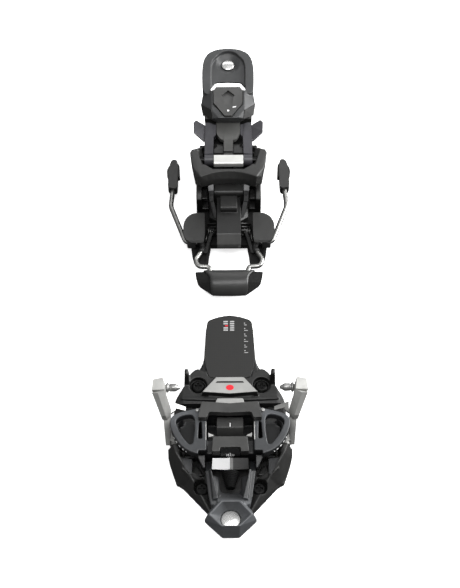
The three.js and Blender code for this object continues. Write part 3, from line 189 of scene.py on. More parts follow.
def textured_grip(name, color, roughness):
    """Nylon with a coarse leathery cell texture."""
    s = Shader(name, color, roughness)
    cells = s.node("ShaderNodeTexVoronoi", Scale=1000 / GRIP_CELL_MM, feature="F1")
    s.link(s.coords, cells.inputs["Vector"])
    s.tint(s.spread(cells.outputs["Distance"], 0, 1, 0.1, 0.7), 0.75, 1.45)
    s.bump(cells.outputs["Distance"], 0.7, 0.18)
    s.bsdf.inputs["Specular IOR Level"].default_value = 0.15
    return s.material


def rubber(name, color, specular):
    """Matt rubber with a fine pitted skin."""
    s = Shader(name, color, 0.75)
    s.bsdf.inputs["Specular IOR Level"].default_value = specular
    s.tint(s.spread(s.noise(6, 3), 0, 1), 0.8, 1.25)
    s.rough(s.spread(s.noise(2, 3), 0.66, 0.84))
    s.bump(s.noise(0.3, 2), 0.3, 0.04)
    return s.material


def laminate(name, color):
    """A printed twill laminate under a satin coat."""
    s = Shader(name, color, 0.42)
    split = s.node("ShaderNodeSeparateXYZ")
    s.link(s.coords, split.inputs[0])
    pitch = 1000 / TWILL_MM
    u = s.math("MULTIPLY", s.math("ADD", split.outputs[0], split.outputs[1]), pitch)
    v = s.math("MULTIPLY", s.math("SUBTRACT", split.outputs[0], split.outputs[1]), pitch)
    steps = s.math("ADD", s.math("FLOOR", u), s.math("FLOOR", v))
    twill = s.math("PINGPONG", steps, 1)
    strand = s.math("PINGPONG", s.math("MULTIPLY", u, 2), 0.5)
    weave = s.math("ADD", s.math("MULTIPLY", twill, 0.7), s.math("MULTIPLY", strand, 0.5))
    s.tint(s.spread(weave, 0, 1, 0, 1), 0.86, 1.16)
    s.rough(s.spread(weave, 0.36, 0.5, 0, 1))
    s.bump(s.noise(0.5, 3), 0.2, 0.04)
    s.bsdf.inputs["Specular IOR Level"].default_value = 0.35
    s.bsdf.inputs["Coat Weight"].default_value = 0.08
    s.bsdf.inputs["Coat Roughness"].default_value = 0.35
    return s.material


def blasted(name, color, roughness, metallic=1.0, painted_light_bands=None):
    """Forged and bead-blasted metal."""
    s = Shader(name, color, roughness, metallic)
    s.tint(s.spread(s.noise(9, 4), 0, 1), 0.9, 1.06)
    s.rough(s.spread(s.noise(3, 4), roughness - 0.07, roughness + 0.09))
    s.bump(s.noise(0.35, 3), 0.25, 0.04)
    # painted light and shade: grey ramps along the axes lighten or darken the colour
    if painted_light_bands:
        s.shade(painted_light_bands)
    return s.material


def brushed(name, color, roughness, stretch, bump=0.2, metallic=1.0, painted_light_bands=None):
    """Metal with fine lines along the axis where stretch is small."""
    s = Shader(name, color, roughness, metallic)
    lines = s.noise(0.5, 4, stretch)
    s.tint(s.spread(s.noise(7, 3), 0, 1), 0.92, 1.05)
    s.rough(s.spread(lines, roughness - 0.05, roughness + 0.1))
    s.bump(lines, bump, 0.02)
    # painted light and shade: grey ramps along the axes lighten or darken the colour
    if painted_light_bands:
        s.shade(painted_light_bands)
    return s.material


def printed(name, color):
    """A flat printed mark."""
    s = Shader(name, color, 0.5)
    s.tint(s.spread(s.noise(1.5, 2), 0, 1), 0.93, 1.04)
    s.bsdf.inputs["Specular IOR Level"].default_value = 0.2
    return s.material


X, Y, Z = 0, 1, 2
NYLON = moulded("black_nylon", (0.020, 0.020, 0.0195), 0.42)
# painted light: a lighter copy of the black nylon for the bumper, step-in plate and scale bracket
NYLON_PAINTED_LIT = moulded("lit_nylon", (0.031, 0.031, 0.030), 0.42)
# painted shade: a near-black copy of the nylon for the track, webs, bushes and ribs that sit in shade
NYLON_PAINTED_SHADE = moulded("painted_shade_nylon", (0.006, 0.006, 0.006), 0.5)
NYLON_GREY = moulded("grey_nylon", (0.036, 0.037, 0.038), 0.40)
COVER = moulded("cover_nylon", (0.047, 0.047, 0.046), 0.4)
BLOCK_SHADE = moulded("block_shade_nylon", (0.0135, 0.0135, 0.013), 0.44)
# painted light: a lighter copy of the nylon for the lever's hook, standing in for its highlights
NECK = moulded("neck_nylon", (0.050, 0.050, 0.048), 0.42)
# painted shade: a darker copy of the black nylon for the tower under the lever and jaw
TOWER = moulded("tower_nylon", (0.014, 0.014, 0.0135), 0.4)
# painted light and shade: the centre block's front bevel lit, its top darkened where the jaw shades it, the
# raised pad a little lighter
CENTRE = moulded("centre_nylon", (0.052, 0.052, 0.051), 0.42, painted_light_bands=[
    (Y, [(37, 1.3), (41.6, 1.3), (43, 0.1), (80, 0.1)]), (Z, [(26.6, 0), (28.6, 0.07)]),
])
# painted shade deep in the lobes' pockets and toward their front, painted light on the rims' tops and toward
# the rear
CARRIAGE = moulded("carriage_nylon", (0.036, 0.038, 0.041), 0.42, painted_light_bands=[
    (Z, [(12, 0.15), (24, 0.28), (28.2, 0.36), (29.5, 1.25)]),
], painted_light_ramp=(Y, [(-145, 0.62), (-134, 0.7), (-118, 1.35), (-90, 1.35)]))
# painted light on the lever's tip, painted shade along its rails
TOE_LEVER = moulded("toe_lever_nylon", (0.062, 0.065, 0.069), 0.42, painted_light_bands=[
    (Y, [(-203, 1.35), (-181.5, 0.95), (-178, 0.3), (-150, 0.22)]),
])
# painted light: the base twice as light toward the front as at the rear
TOE_BASE = moulded("toe_base_nylon", (0.009, 0.009, 0.0087), 0.46, painted_light_bands=[
    (Y, [(-200, 1.5), (-131, 1.5), (-112, 0.72), (-30, 0.72)]),
])
# painted shade: the housing darker low in the cavity and under the lever, lightest near the top of its walls
HOUSING = moulded("housing_nylon", (0.016, 0.016, 0.0155), 0.42, painted_light_bands=[
    (Z, [(14, 0.05), (26, 0.2), (30, 0.9), (36, 1), (41, 0.2), (46, 0.15)]),
])
# painted shade: the front screws near black, as if lost in the shade of their recesses
SCREW_PAINTED_SHADE = moulded("painted_shade_screw", (0.003, 0.003, 0.003), 0.5, specular=0.15)
# painted light: a lighter nylon for skins on the flanks' shelf, where the lobes' shade falls
SHELF_PAINTED_LIT = moulded("shelf_painted_lit_nylon", (0.020, 0.0207, 0.022), 0.44)
# painted shade: a near-black copy of the nylon for the heel carriage, its forks and struts, below the light
# from above
SLED = moulded("sled_nylon", (0.004, 0.004, 0.0039), 0.55, specular=0.2)
BRAKE_SPRING = brushed("brake_spring", (0.09, 0.09, 0.088), 0.4, (1, 1, 1), 0.1)
RISER_GREY = moulded("riser_nylon", (0.037, 0.0365, 0.041), 0.34)
SHANK = moulded("shank_nylon", (0.014, 0.014, 0.0142), 0.4)
# painted shade: the brake ends darker low down, lighter on top
BRAKE_TIP = moulded("brake_tip_nylon", (0.021, 0.021, 0.0205), 0.42, painted_light_bands=[
    (Z, [(15, 0.35), (16.4, 0.4), (17.6, 1)]),
])
PEDAL = moulded("pedal_nylon", (0.024, 0.024, 0.0235), 0.34)
RAIL = moulded("rail_nylon", (0.062, 0.062, 0.064), 0.36)
GRIP = textured_grip("grip_nylon", (0.006, 0.006, 0.0058), 0.72)
SLEEVE = rubber("sleeve_rubber", (0.0025, 0.0025, 0.0025), 0.12)
LAMINATE = laminate("twill_laminate", (0.0105, 0.0105, 0.010))
# painted shade: the arms darker toward their lower part
CAST = blasted("blasted_aluminium", (0.43, 0.43, 0.415), 0.42, metallic=0.5, painted_light_bands=[
    (Z, [(4, 0.4), (17, 0.45), (23, 1)]),
])
POLISHED = brushed("polished_steel", (0.80, 0.80, 0.78), 0.24, (1, 1, 1), 0.05)
PIN = brushed("pin_steel", (0.27, 0.27, 0.265), 0.34, (1, 1, 1), 0.0, metallic=0.7)
CHROME = brushed("chrome", (0.66, 0.66, 0.65), 0.2, (1, 1, 1), 0.02, metallic=0.8)
STRAP = brushed("strap_steel", (0.36, 0.36, 0.35), 0.36, (1, 0.3, 1), 0.0, metallic=0.7)
# painted reflection: the yoke's left facets bright and its right ones dark
YOKE = brushed("yoke_steel", (0.82, 0.82, 0.82), 0.3, (0.05, 1, 1), 0.2, metallic=0.4, painted_light_bands=[
    (X, [(-13, 1.9), (-0.6, 1.6), (0, 0.3), (1.2, 0.5), (2.2, 0.12), (13, 0.07)]),
])
CAP_STEEL = brushed("cap_steel", (0.56, 0.56, 0.54), 0.34, (0.05, 1, 1), 0.2, metallic=0.6)
WIRE = brushed("wire_steel", (0.32, 0.32, 0.31), 0.25, (1, 0.08, 1), 0.0, metallic=0.95)
SPRING = brushed("spring_steel", (0.3, 0.3, 0.29), 0.3, (1, 1, 1), 0.1)
SCREW = blasted("screw_steel", (0.018, 0.018, 0.018), 0.36)
BADGE = brushed("badge_foil", (0.33, 0.33, 0.32), 0.36, (0.06, 1, 1), 0.15, metallic=0.5)
GLOSS = moulded("gloss_black", (0.006, 0.006, 0.0065), 0.2, bump=0.05)
PRINT_WHITE = printed("print_white", (0.72, 0.72, 0.72))
PRINT_PALE = printed("print_pale", (0.34, 0.34, 0.34))
PRINT_DARK = printed("print_dark", (0.012, 0.012, 0.012))
PRINT_RED = printed("print_red", (0.55, 0.02, 0.03))


# ---- Edges --------------------------------------------------------------------------
WELD_MM = 0.01
FLAT_DEG = 1.5  # faces that meet at less than this are joined
SHARP_DEG = 28  # edges sharper than this are rounded


def weld_points(obj):
    weld = obj.modifiers.new("weld", "WELD")
    weld.merge_threshold = WELD_MM * MM


def finish_edges(obj, width_mm):
    """Rounds an object's edges with modifiers, leaving its mesh alone."""
    weld_points(obj)
    flat = obj.modifiers.new("flat", "DECIMATE")
    flat.decimate_type = "DISSOLVE"
    flat.angle_limit = math.radians(FLAT_DEG)
    bevel = obj.modifiers.new("bevel", "BEVEL")
    bevel.width = width_mm * MM
    bevel.segments = 2
    bevel.limit_method = "ANGLE"
    bevel.angle_limit = math.radians(SHARP_DEG)
    bevel.use_clamp_overlap = True
    bevel.miter_outer = "MITER_ARC"
    normal = obj.modifiers.new("normals", "WEIGHTED_NORMAL")
    normal.keep_sharp = True
    for face in obj.data.polygons:
        face.use_smooth = True


def melt_edges(obj, voxel_mm, rounds):
    """Rounds a busy object's edges by resampling its surface."""
    weld_points(obj)
    remesh = obj.modifiers.new("remesh", "REMESH")
    remesh.mode = "VOXEL"
    remesh.voxel_size = voxel_mm * MM
    remesh.use_smooth_shade = True
    soften = obj.modifiers.new("soften", "SMOOTH")
    soften.factor = 0.5
    soften.iterations = rounds


def paint(name, material):
    """Gives a CAD node its material."""
    obj = nodes[name]
    obj.data.materials.clear()
    obj.data.materials.append(material)
    return obj


def new_object(name, mesh, material, body):
    """Adds a new piece that rides on a body and stands for a material slot."""
    obj = bpy.data.objects.new(name, mesh)
    scene.collection.objects.link(obj)
    obj.data.materials.append(material)
    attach(obj, body)
    return obj


# ---- CAD nodes that stay ------------------------------------------------------------
# node: (material, bevel in mm)
BEVELLED = {
    "tongue_cover": (LAMINATE, 0.5), "badge_plate": (BADGE, 0.4), "badge_strip": (BADGE, 0.3),
    "toe_guide_rod": (SCREW, 0.2), "toe_bumper": (NYLON_PAINTED_LIT, 0.7), "step_in_plate": (NYLON_PAINTED_LIT, 0.5),
    "scale_bracket": (NYLON_PAINTED_LIT, 0.6), "scale_insert": (GLOSS, 0.2), "release_yoke": (YOKE, 0.4),
    "toe_lever_axle": (SCREW, 0.3), "heel_track": (NYLON_PAINTED_SHADE, 0.4), "length_screw": (SCREW, 0.2),
    "heel_carriage": (SLED, 0.5), "heel_tower": (TOWER, 0.9), "axle_cap": (CAP_STEEL, 0.3),
    "heel_release_screw": (POLISHED, 0.3), "heel_block": (CENTRE, 0.6), "lever_cover": (COVER, 0.4),
    "lever_hook": (NECK, 0.8), "main_axle": (SCREW, 0.3),
}
# the same for nodes that come as a left and a right one
PAIRED = {
    "toe_screw_rear": (SCREW, 0.25), "toe_screw_front": (SCREW_PAINTED_SHADE, 0.25),
    "heel_screw_rear": (SCREW, 0.25), "heel_screw_front": (SCREW, 0.25),
    "toe_arm": (CAST, 0.5), "arm_strap": (STRAP, 0.3), "arm_pivot_rod": (SCREW, 0.2),
    "guide_rail": (SHANK, 0.5), "heel_pad": (NYLON, 0.8), "riser_arm": (RISER_GREY, 0.9),
    "pedal_wing": (GRIP, 0.4), "brake_end": (BRAKE_TIP, 0.7),
}
# node: (material, voxel in mm, rounds of softening)
MELTED = {
    "toe_base": (TOE_BASE, 0.45, 4), "toe_carriage": (CARRIAGE, 0.45, 4), "toe_lever": (TOE_LEVER, 0.4, 4),
    "heel_housing": (HOUSING, 0.5, 4), "heel_jaw": (NYLON, 0.45, 5), "heel_lever": (NYLON_GREY, 0.45, 2),
}

for node_name, (material, width) in BEVELLED.items():
    finish_edges(paint(node_name, material), width)
for node_name, (material, width) in PAIRED.items():
    for _, hand in SIDES:
        finish_edges(paint(f"{node_name}_{hand}", material), width)
for node_name, (material, voxel, rounds) in MELTED.items():
    melt_edges(paint(node_name, material), voxel, rounds)


# ---- Mesh tools for new pieces ------------------------------------------------------
def circle_frame(direction):
    """Two unit vectors square to a direction and to each other."""
    side = direction.cross(Vector((0, 0, 1)))
    if side.length < 0.05:
        side = direction.cross(Vector((0, 1, 0)))
    side.normalize()
    return side, direction.cross(side).normalized()


def circle(centre, u, v, radius_mm, sides):
    """Points of a circle about centre, in the plane of the unit vectors u and v."""
    turns = [2 * math.pi * i / sides for i in range(sides)]
    return [centre + (u * math.cos(a) + v * math.sin(a)) * radius_mm * MM for a in turns]


def rings_mesh(name, rings):
    """A skin over rings of points that all have the same count, capped at both ends."""
    bm = bmesh.new()
    rows = [[bm.verts.new(point) for point in ring] for ring in rings]
    count = len(rows[0])
    for row, after in zip(rows, rows[1:]):
        for i in range(count):
            j = (i + 1) % count
            bm.faces.new((row[i], row[j], after[j], after[i]))
    bm.faces.new(list(reversed(rows[0])))
    bm.faces.new(rows[-1])
    bmesh.ops.recalc_face_normals(bm, faces=bm.faces)
    mesh = bpy.data.meshes.new(name)
    bm.to_mesh(mesh)
    bm.free()
    for face in mesh.polygons:
        face.use_smooth = len(face.vertices) == 4
    return mesh


def lathe_mesh(name, start, end, profile, sides=40):
    """A turned shape about the line from start to end; profile is (mm along the line, radius in mm)."""
    axis = (end - start).normalized()
    u, v = circle_frame(axis)
    rings = [circle(start + axis * along * MM, u, v, radius, sides) for along, radius in profile]
    return rings_mesh(name, rings)


def rounded_path(corners, radius_mm, steps=5):
    """A run of points with each inner corner rounded off."""
    path = [corners[0]]
    for before, here, after in zip(corners, corners[1:], corners[2:]):
        back = before - here
        ahead = after - here
        reach = min(radius_mm * MM, back.length * 0.48, ahead.length * 0.48)
        start = here + back.normalized() * reach
        end = here + ahead.normalized() * reach
        for i in range(steps + 1):
            t = i / steps
            path.append(start * (1 - t) ** 2 + here * 2 * t * (1 - t) + end * t ** 2)
    path.append(corners[-1])
    return path


def tube_mesh(name, path, radius_mm, sides=20):
    """A round tube along a path, with its sections carried along without twisting."""
    rings = []
    side = None
    for i, point in enumerate(path):
        before = path[max(i - 1, 0)]
        after = path[min(i + 1, len(path) - 1)]
        along = (after - before).normalized()
        if side is None:
            side, _ = circle_frame(along)
        side = (side - along * side.dot(along)).normalized()
        rings.append(circle(point, side, along.cross(side), radius_mm, sides))
    return rings_mesh(name, rings)


def coil_path(start, end, radius_mm, turns, steps=28):
    """Points of a coil about the line from start to end."""
    axis = end - start
    u, v = circle_frame(axis.normalized())
    count = int(turns * steps)
    path = []
    for i in range(count + 1):
        angle = 2 * math.pi * i / steps
        spoke = u * math.cos(angle) + v * math.sin(angle)
        path.append(start + axis * (i / count) + spoke * radius_mm * MM)
    return path


def slab_mesh(name, outline, rise_mm):
    """A thin plate over a ring of points, raised along z."""
    lift = Vector((0, 0, rise_mm * MM))
    mesh = rings_mesh(name, [outline, [point + lift for point in outline]])
    for face in mesh.polygons:
        face.use_smooth = False
    return mesh


def hull_mesh(name, points):
    """The smallest convex solid around some points, with flat regions joined into single faces."""
    bm = bmesh.new()
    for point in points:
        bm.verts.new(point)
    hull = bmesh.ops.convex_hull(bm, input=bm.verts)
    inside = [item for item in hull["geom_interior"] if isinstance(item, bmesh.types.BMVert)]
    bmesh.ops.delete(bm, geom=inside, context="VERTS")
    bmesh.ops.dissolve_limit(bm, angle_limit=math.radians(1), verts=bm.verts, edges=bm.edges)
    bmesh.ops.recalc_face_normals(bm, faces=bm.faces)
    mesh = bpy.data.meshes.new(name)
    bm.to_mesh(mesh)
    bm.free()
    return mesh


def add_trim(name, points, material, body, bevel_mm=0.12):
    """A small convex piece around some points, with its edges rounded."""
    obj = new_object(name, hull_mesh(name, points), material, body)
    bevel = obj.modifiers.new("bevel", "BEVEL")
    bevel.width = bevel_mm * MM
    bevel.segments = 2
    return obj


def mirrored(place, side, points):
    """Placed points of a sketch that is drawn for the right-hand side."""
    return [place(side * x, y, z) for x, y, z in points]


def two_skins(points, drop, inward=0.0, back=0.0):
    """A sketch's points and a second set of them, lower by drop and shifted under the first."""
    return points + [(x - inward, y + back, z - drop) for x, y, z in points]


def box_points(place, x0, x1, y0, y1, z0, z1):
    """The corners of an upright block, placed."""
    return [place(x, y, z) for x in (x0, x1) for y in (y0, y1) for z in (z0, z1)]


# ---- Lever discs --------------------------------------------------------------------
LEVER_SLOPE = 0.1  # rise of the heel lever's dish toward the rear, per mm
DISC_Y = 89
DISC_Z = 61.6


def dome_profile(radius, thick, rise):
    """A shallow dome with a rounded rim."""
    steps = [(0, radius - 0.3), (0.3, radius), (thick, radius), (thick + 0.25, radius - 0.15)]
    for share in (0.93, 0.85, 0.74, 0.6, 0.45, 0.3, 0.15, 0.04):
        steps.append((thick + 0.25 + rise * (1 - share ** 2), radius * share))
    return steps


def build_discs():
    """Chromed domes in the dishes of the two levers."""
    base, top = toe(0, -91.5, 11.8), toe(0, -91.5, 20)
    mesh = lathe_mesh("toe_disc", base, top, dome_profile(6.8, 1.2, 1.3), 56)
    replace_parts(new_object("toe_disc", mesh, CHROME, "toe_lever"), "toe_lever_disc")
    base = heel(0, DISC_Y, DISC_Z)
    top = base + Vector((0, -LEVER_SLOPE, 1)) * MM
    mesh = lathe_mesh("heel_disc", base, top, dome_profile(5.2, 0.8, 1.1), 56)
    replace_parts(new_object("heel_disc", mesh, CHROME, "heel_lever"), "heel_lever_disc")


# ---- Toe unit -----------------------------------------------------------------------
PIN_ROOT = (52.6, -0.6, 37)
PIN_POINT = (35, -0.6, 37)
SLEEVE_FRONT_Y = -69.5
SLEEVE_LENGTH = 12.1
SLEEVE_Z = 15.6
SLEEVE_RIBS = 9


def build_toe_pins():
    """Hardened pins: a flange at the arm, a barrel, a groove and a cone with a blunt point."""
    profile = [
        (0, 2.1), (6.6, 2.1), (7.2, 3.3), (7.6, 3.6), (8.2, 3.6), (8.6, 3.2), (8.8, 2.5), (9.4, 2.4),
        (9.8, 2.8), (13.4, 2.85), (13.8, 2.7), (14.4, 2.3), (16.4, 1.25), (16.9, 0.95), (17.1, 0.5),
    ]
    for side, hand in SIDES:
        root, point = mirrored(toe, side, (PIN_ROOT, PIN_POINT))
        mesh = lathe_mesh(f"pin_{hand}", root, point, profile)
        pin = new_object(f"pin_{hand}", mesh, PIN, f"toe_arm_{hand}")
        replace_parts(pin, f"toe_pin_{hand}")


def build_sleeve():
    """The ribbed adjusting sleeve: a cone of fine rings around a slotted end."""
    narrow, widening = 3.2, 2.9
    profile = [(0, 0.6), (0.2, 2.4)]
    for i in range(SLEEVE_RIBS):
        y = 0.3 + (SLEEVE_LENGTH - 1.6) * i / SLEEVE_RIBS
        radius = narrow + widening * (i + 0.5) / SLEEVE_RIBS
        profile += [
            (y, radius - 0.5), (y + 0.25, radius), (y + 0.75, radius + 0.04), (y + 1.0, radius - 0.45),
        ]
    collar = [(1.2, 5.6), (0.9, 6.1), (0.2, 6.1), (0, 5.9)]
    profile += [(SLEEVE_LENGTH - before_end, radius) for before_end, radius in collar]
    front = toe(0, SLEEVE_FRONT_Y, SLEEVE_Z)
    rear = toe(0, SLEEVE_FRONT_Y + SLEEVE_LENGTH, SLEEVE_Z)
    mesh = lathe_mesh("sleeve", front, rear, profile, 48)
    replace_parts(new_object("sleeve", mesh, SLEEVE, "toe_slider"), "release_sleeve")


def build_toe_coil():
    """A finer coil for the side-release spring."""
    path = coil_path(toe(0, -45.3, SLEEVE_Z), toe(0, -35.7, SLEEVE_Z), 3.9, 4)
    mesh = tube_mesh("toe_coil", path, 0.8, 12)
    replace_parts(new_object("toe_coil", mesh, SPRING, "toe_slider"), "release_spring")


def rim_dash(side, start, end):
    """A short printed dash on a lobe's upright rim, between two points of its outline."""
    low, high = 25.4, 26.3
    thick = 0.32
    along = Vector((*end, 0)) - Vector((*start, 0))
    out = Vector((-along.y, along.x, 0)).normalized()
    points = []
    for share in (0.3, 0.72):
        for reach in (0.0, thick):
            place = Vector((*start, 0)) + along * share + out * reach
            points += [toe(side * place.x, place.y, z) for z in (low, high)]
    return points


def build_toe_trim():
    """Steel posts, edges and wedges in the carriage, dashes on its lobes, a lighter skin on each shelf below
    it as painted light, and a near-black web under each arm as painted shade.
    """
    post_profile = [(0, 1.4), (7.2, 1.4), (7.6, 1.2), (7.7, 0.6)]
    lit_shelf = [(34.6, -46.8, 18), (33, -52.4, 17.2), (27, -46.9, 16.4), (27, -58, 15.2), (28.4, -58.2, 15.6)]
    lit_shelf += [(34.6, -46.8, 17), (33, -52.4, 16.2), (27, -46.9, 15.4), (27, -58, 14), (28.4, -58.2, 14.6)]
    web = [(x, y, z) for x, y in ((28, -6), (40, -6), (40, 2.2), (28, 2.2)) for z in (2, 5)]
    rim = [(40.3, -33.6), (38.9, -36.3), (36.9, -39.6), (34.5, -42.7), (31.9, -45.0), (30.2, -46.1)]
    wedge = [
        (11.4, -33.2, 24), (15.6, -33.4, 24), (15.6, -30.6, 25.4), (11.4, -32.6, 24.8), (15.6, -31, 22.4),
        (11.4, -33.2, 22.4), (15.6, -33.6, 22.4),
    ]
    for side, hand in SIDES:
        foot, top = mirrored(toe, side, ((23.4, -15.6, 24), (23.4, -15.6, 40)))
        mesh = lathe_mesh(f"post_{hand}", foot, top, post_profile, 24)
        new_object(f"post_{hand}", mesh, STRAP, "toe_slider")
        edge = [toe(side * x, y, z) for x in (16.9, 17.5) for y in (-24.4, -38.6) for z in (27.2, 30.35)]
        add_trim(f"channel_edge_{hand}", edge, STRAP, "toe_slider", 0.1)
        # painted light: a lighter skin on the shelf under the lobes
        points = mirrored(toe, side, lit_shelf)
        add_trim(f"flank_painted_lit_skin_{hand}", points, SHELF_PAINTED_LIT, "base_plates", 0.2)
        # painted shade: a near-black web below each arm, where only shade shows
        points = mirrored(toe, side, web)
        add_trim(f"arm_web_{hand}", points, NYLON_PAINTED_SHADE, "base_plates", 0.3)
        for i, (start, end) in enumerate(zip(rim, rim[1:])):
            dash = rim_dash(side, start, end)
            add_trim(f"lobe_dash_{hand}_{i}", dash, PRINT_WHITE, "toe_slider", 0.02)
        points = mirrored(toe, side, wedge)
        add_trim(f"channel_wedge_{hand}", points, STRAP, "toe_slider")


# ---- Heel unit ----------------------------------------------------------------------
def build_wires():
    """The brake's wires: straight runs with tight rounded bends."""
    bend_mm, radius_mm = 3, 1.95
    corners = [
        (46, 18.4, 14), (46, -5, 14), (47.4, -22.4, 14), (37.4, -50.4, 13.2), (34.6, -57, 11.9),
        (22.6, -57, 11.9), (20.4, -61.4, 10.4), (27, -74.4, 12), (24.4, -80.6, 12), (15.6, -80.9, 12),
        (14.2, -91, 10.7),
    ]
    for side, hand in SIDES:
        path = rounded_path(mirrored(heel, side, corners), bend_mm)
        mesh = tube_mesh(f"wire_{hand}", path, radius_mm, 28)
        wire = new_object(f"wire_{hand}", mesh, WIRE, "ski_brake")
        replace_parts(wire, f"brake_wire_{hand}")


def pedal_ring(y, half, top, bottom, across=20):
    """One section of the pedal: a crowned top with eased edges over a flat bottom."""
    ring = []
    for i in range(across + 1):
        share = 2 * i / across - 1
        crown = 1 - share ** 2
        edge = 0.6 * max(0, abs(share) - 0.9) / 0.1
        ring.append(heel(half * share, y - 0.4 * crown, top + 0.5 * crown - 0.5 - edge))
    for i in range(across + 1):
        share = 1 - 2 * i / across
        ring.append(heel(half * share, y - 0.4 * (1 - share ** 2), bottom))
    return ring


def build_pedal():
    """The brake's pedal: a plate with waisted sides, rolled over at the front, between two grips."""
    # each section: y, half width, height of the top, height of the bottom
    sections = [
        (-84.2, 20.3, 12.8, 9.2), (-84.8, 20.2, 13.4, 8.8), (-86.6, 18.5, 14.2, 7.8),
        (-88.8, 16.7, 14.7, 7.2), (-91.2, 15.5, 15, 6.8), (-93.6, 15.1, 15.1, 6.4), (-96, 14.9, 14.7, 6),
        (-98.6, 14.8, 13.4, 5.6), (-101.2, 14.4, 11, 5.3), (-103.2, 13.7, 8.2, 5.1),
        (-104.1, 13.2, 6.4, 5.1),
    ]
    mesh = rings_mesh("pedal", [pedal_ring(*section) for section in sections])
    obj = new_object("pedal", mesh, PEDAL, "ski_brake")
    bevel = obj.modifiers.new("bevel", "BEVEL")
    bevel.width = 0.4 * MM
    bevel.segments = 2
    bevel.angle_limit = math.radians(50)
    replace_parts(obj, "brake_pedal")
    grip = [
        (15, -85.2, 11.8), (26.8, -85.6, 11.8), (26.4, -90, 11.2), (25, -94.6, 9.8), (23.4, -96.8, 8.6),
        (13.4, -104.1, 5.9), (13, -96, 12.4), (14, -90, 13), (15, -85.4, 8.6), (26.6, -85.8, 8.6),
        (24.8, -94.6, 6.4), (23, -96.8, 6), (13.4, -103.9, 5.2), (13, -96, 5.8),
    ]
    for side, hand in SIDES:
        wing = add_trim(f"grip_{hand}", mirrored(heel, side, grip), GRIP, "ski_brake", 0.5)
        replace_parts(wing, f"pedal_wing_{hand}")


def build_heel_coils():
    """A finer coil for the release spring, and the brake's two torsion springs."""
    path = coil_path(heel(0, 5.6, 29), heel(0, 29, 29), 5, 5)
    mesh = tube_mesh("heel_coil", path, 1.1, 12)
    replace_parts(new_object("heel_coil", mesh, SPRING, "heel_slider"), "heel_spring")
    for side, hand in SIDES:
        path = coil_path(heel(side * 11.2, -47.5, 13), heel(side * 17.6, -47.5, 13), 2.9, 4.5)
        path.append(heel(side * 18.6, -56, 11.4))
        mesh = tube_mesh(f"brake_coil_{hand}", path, 0.6, 10)
        new_object(f"brake_coil_{hand}", mesh, BRAKE_SPRING, "heel_slider")


def build_housing_edges(side, hand):
    """A pale cap on the guide rail and the housing's outer shoulder."""
    cap = [
        (12.1, -20, 40.3), (16.6, -21, 39.4), (16.2, -24.6, 37), (12, -24.6, 37.6),
        (12.1, -20, 38.4), (16.6, -21, 37.6), (16.2, -24.4, 35.6), (12, -24.4, 35.8),
    ]
    add_trim(f"rail_cap_{hand}", mirrored(heel, side, cap), RAIL, "heel_slider", 0.3)
    shoulder = [heel(side * x, y, z) for x in (15.6, 23.6) for y in (17.8, 20.4) for z in (31, 40.6)]
    add_trim(f"housing_shoulder_{hand}", shoulder, HOUSING, "heel_slider", 0.8)


def build_lever_edges(side, hand):
    """The lever block's front facets as dark skins of painted shade, the climbing aid's outer blade, and a
    leg under the block that is dark with painted shade.
    """
    corners = [(12.7, 31.1, 60.5), (20.9, 39.9, 54.6), (13.5, 36.9, 64.75), (22.6, 49.3, 58.5)]
    facet = mirrored(heel, side, two_skins(corners, 0.6, inward=1, back=0.8))
    add_trim(f"block_facet_{hand}", facet, BLOCK_SHADE, "heel_lever", 0.1)
    wing = [(18.4, 29.4, 53.7), (26.4, 34, 56), (28.4, 31.8, 56), (28, 21.8, 55.2), (19.8, 15.4, 51.1)]
    blade = mirrored(heel, side, two_skins(wing, 2))
    add_trim(f"riser_blade_{hand}", blade, RISER_GREY, "climbing_aid", 0.6)
    leg = [heel(side * x, y, z) for x in (9.2, 19) for y in (34.4, 38.4) for z in (44.6, 57)]
    add_trim(f"block_leg_{hand}", leg, BLOCK_SHADE, "heel_lever", 0.4)


def build_brake_seat(side, hand):
    """The bush around the wire's cross run, the fork's strut and the ribs beside the centre block, all
    near-black with painted shade.
    """
    run = mirrored(heel, side, ((25.4, -57, 11.9), (22.6, -57, 11.9), (20.4, -61.4, 10.4), (22.8, -66, 11)))
    mesh = tube_mesh(f"wire_bush_{hand}", rounded_path(run, 3), 2.4)
    new_object(f"wire_bush_{hand}", mesh, NYLON_PAINTED_SHADE, "ski_brake")
    strut = [
        (12.6, -50, 16), (15.4, -50, 16), (17.4, -66, 9.6), (20.4, -66, 9.6),
        (12.6, -50, 13), (15.4, -50, 13), (17.4, -66, 8.7), (20.4, -66, 8.7),
    ]
    add_trim(f"fork_strut_{hand}", mirrored(heel, side, strut), SLED, "heel_slider", 0.3)
    pitch, thick, foot = 3.4, 1, 10.2
    for i in range(3):
        y = -42.6 - pitch * i
        outline = [(10.2, y, 19), (10.2, y - thick, 19), (17.8, y + 3.2, 14), (17.8, y + 3.2 - thick, 14)]
        rib = outline + [(x, place, foot) for x, place, _ in outline]
        points = mirrored(heel, side, rib)
        add_trim(f"cavity_rib_{hand}_{i}", points, NYLON_PAINTED_SHADE, "heel_slider", 0.2)


def build_heel_trim():
    """The housing's tail, and the small pieces that come as a left and a right one."""
    tail = [heel(x, y, z) for x in (-15.4, 15.4) for y, z in ((34.8, 20), (34.8, 44.3), (40, 41), (40.6, 24))]
    add_trim("housing_tail", tail, HOUSING, "heel_slider", 0.8)
    for side, hand in SIDES:
        build_housing_edges(side, hand)
        build_lever_edges(side, hand)
        build_brake_seat(side, hand)


# ---- Prints -------------------------------------------------------------------------
TONGUE_TOP = 11.42
PRINT_MM = 0.12
BADGE_FRONT_Y = 20.9  # where the badge's face is BADGE_FOOT_Z high
BADGE_FOOT_Z = 13.4
BADGE_SLOPE = 0.317
COVER_FRONT_Y = 31.4
COVER_FRONT_Z = 64.2


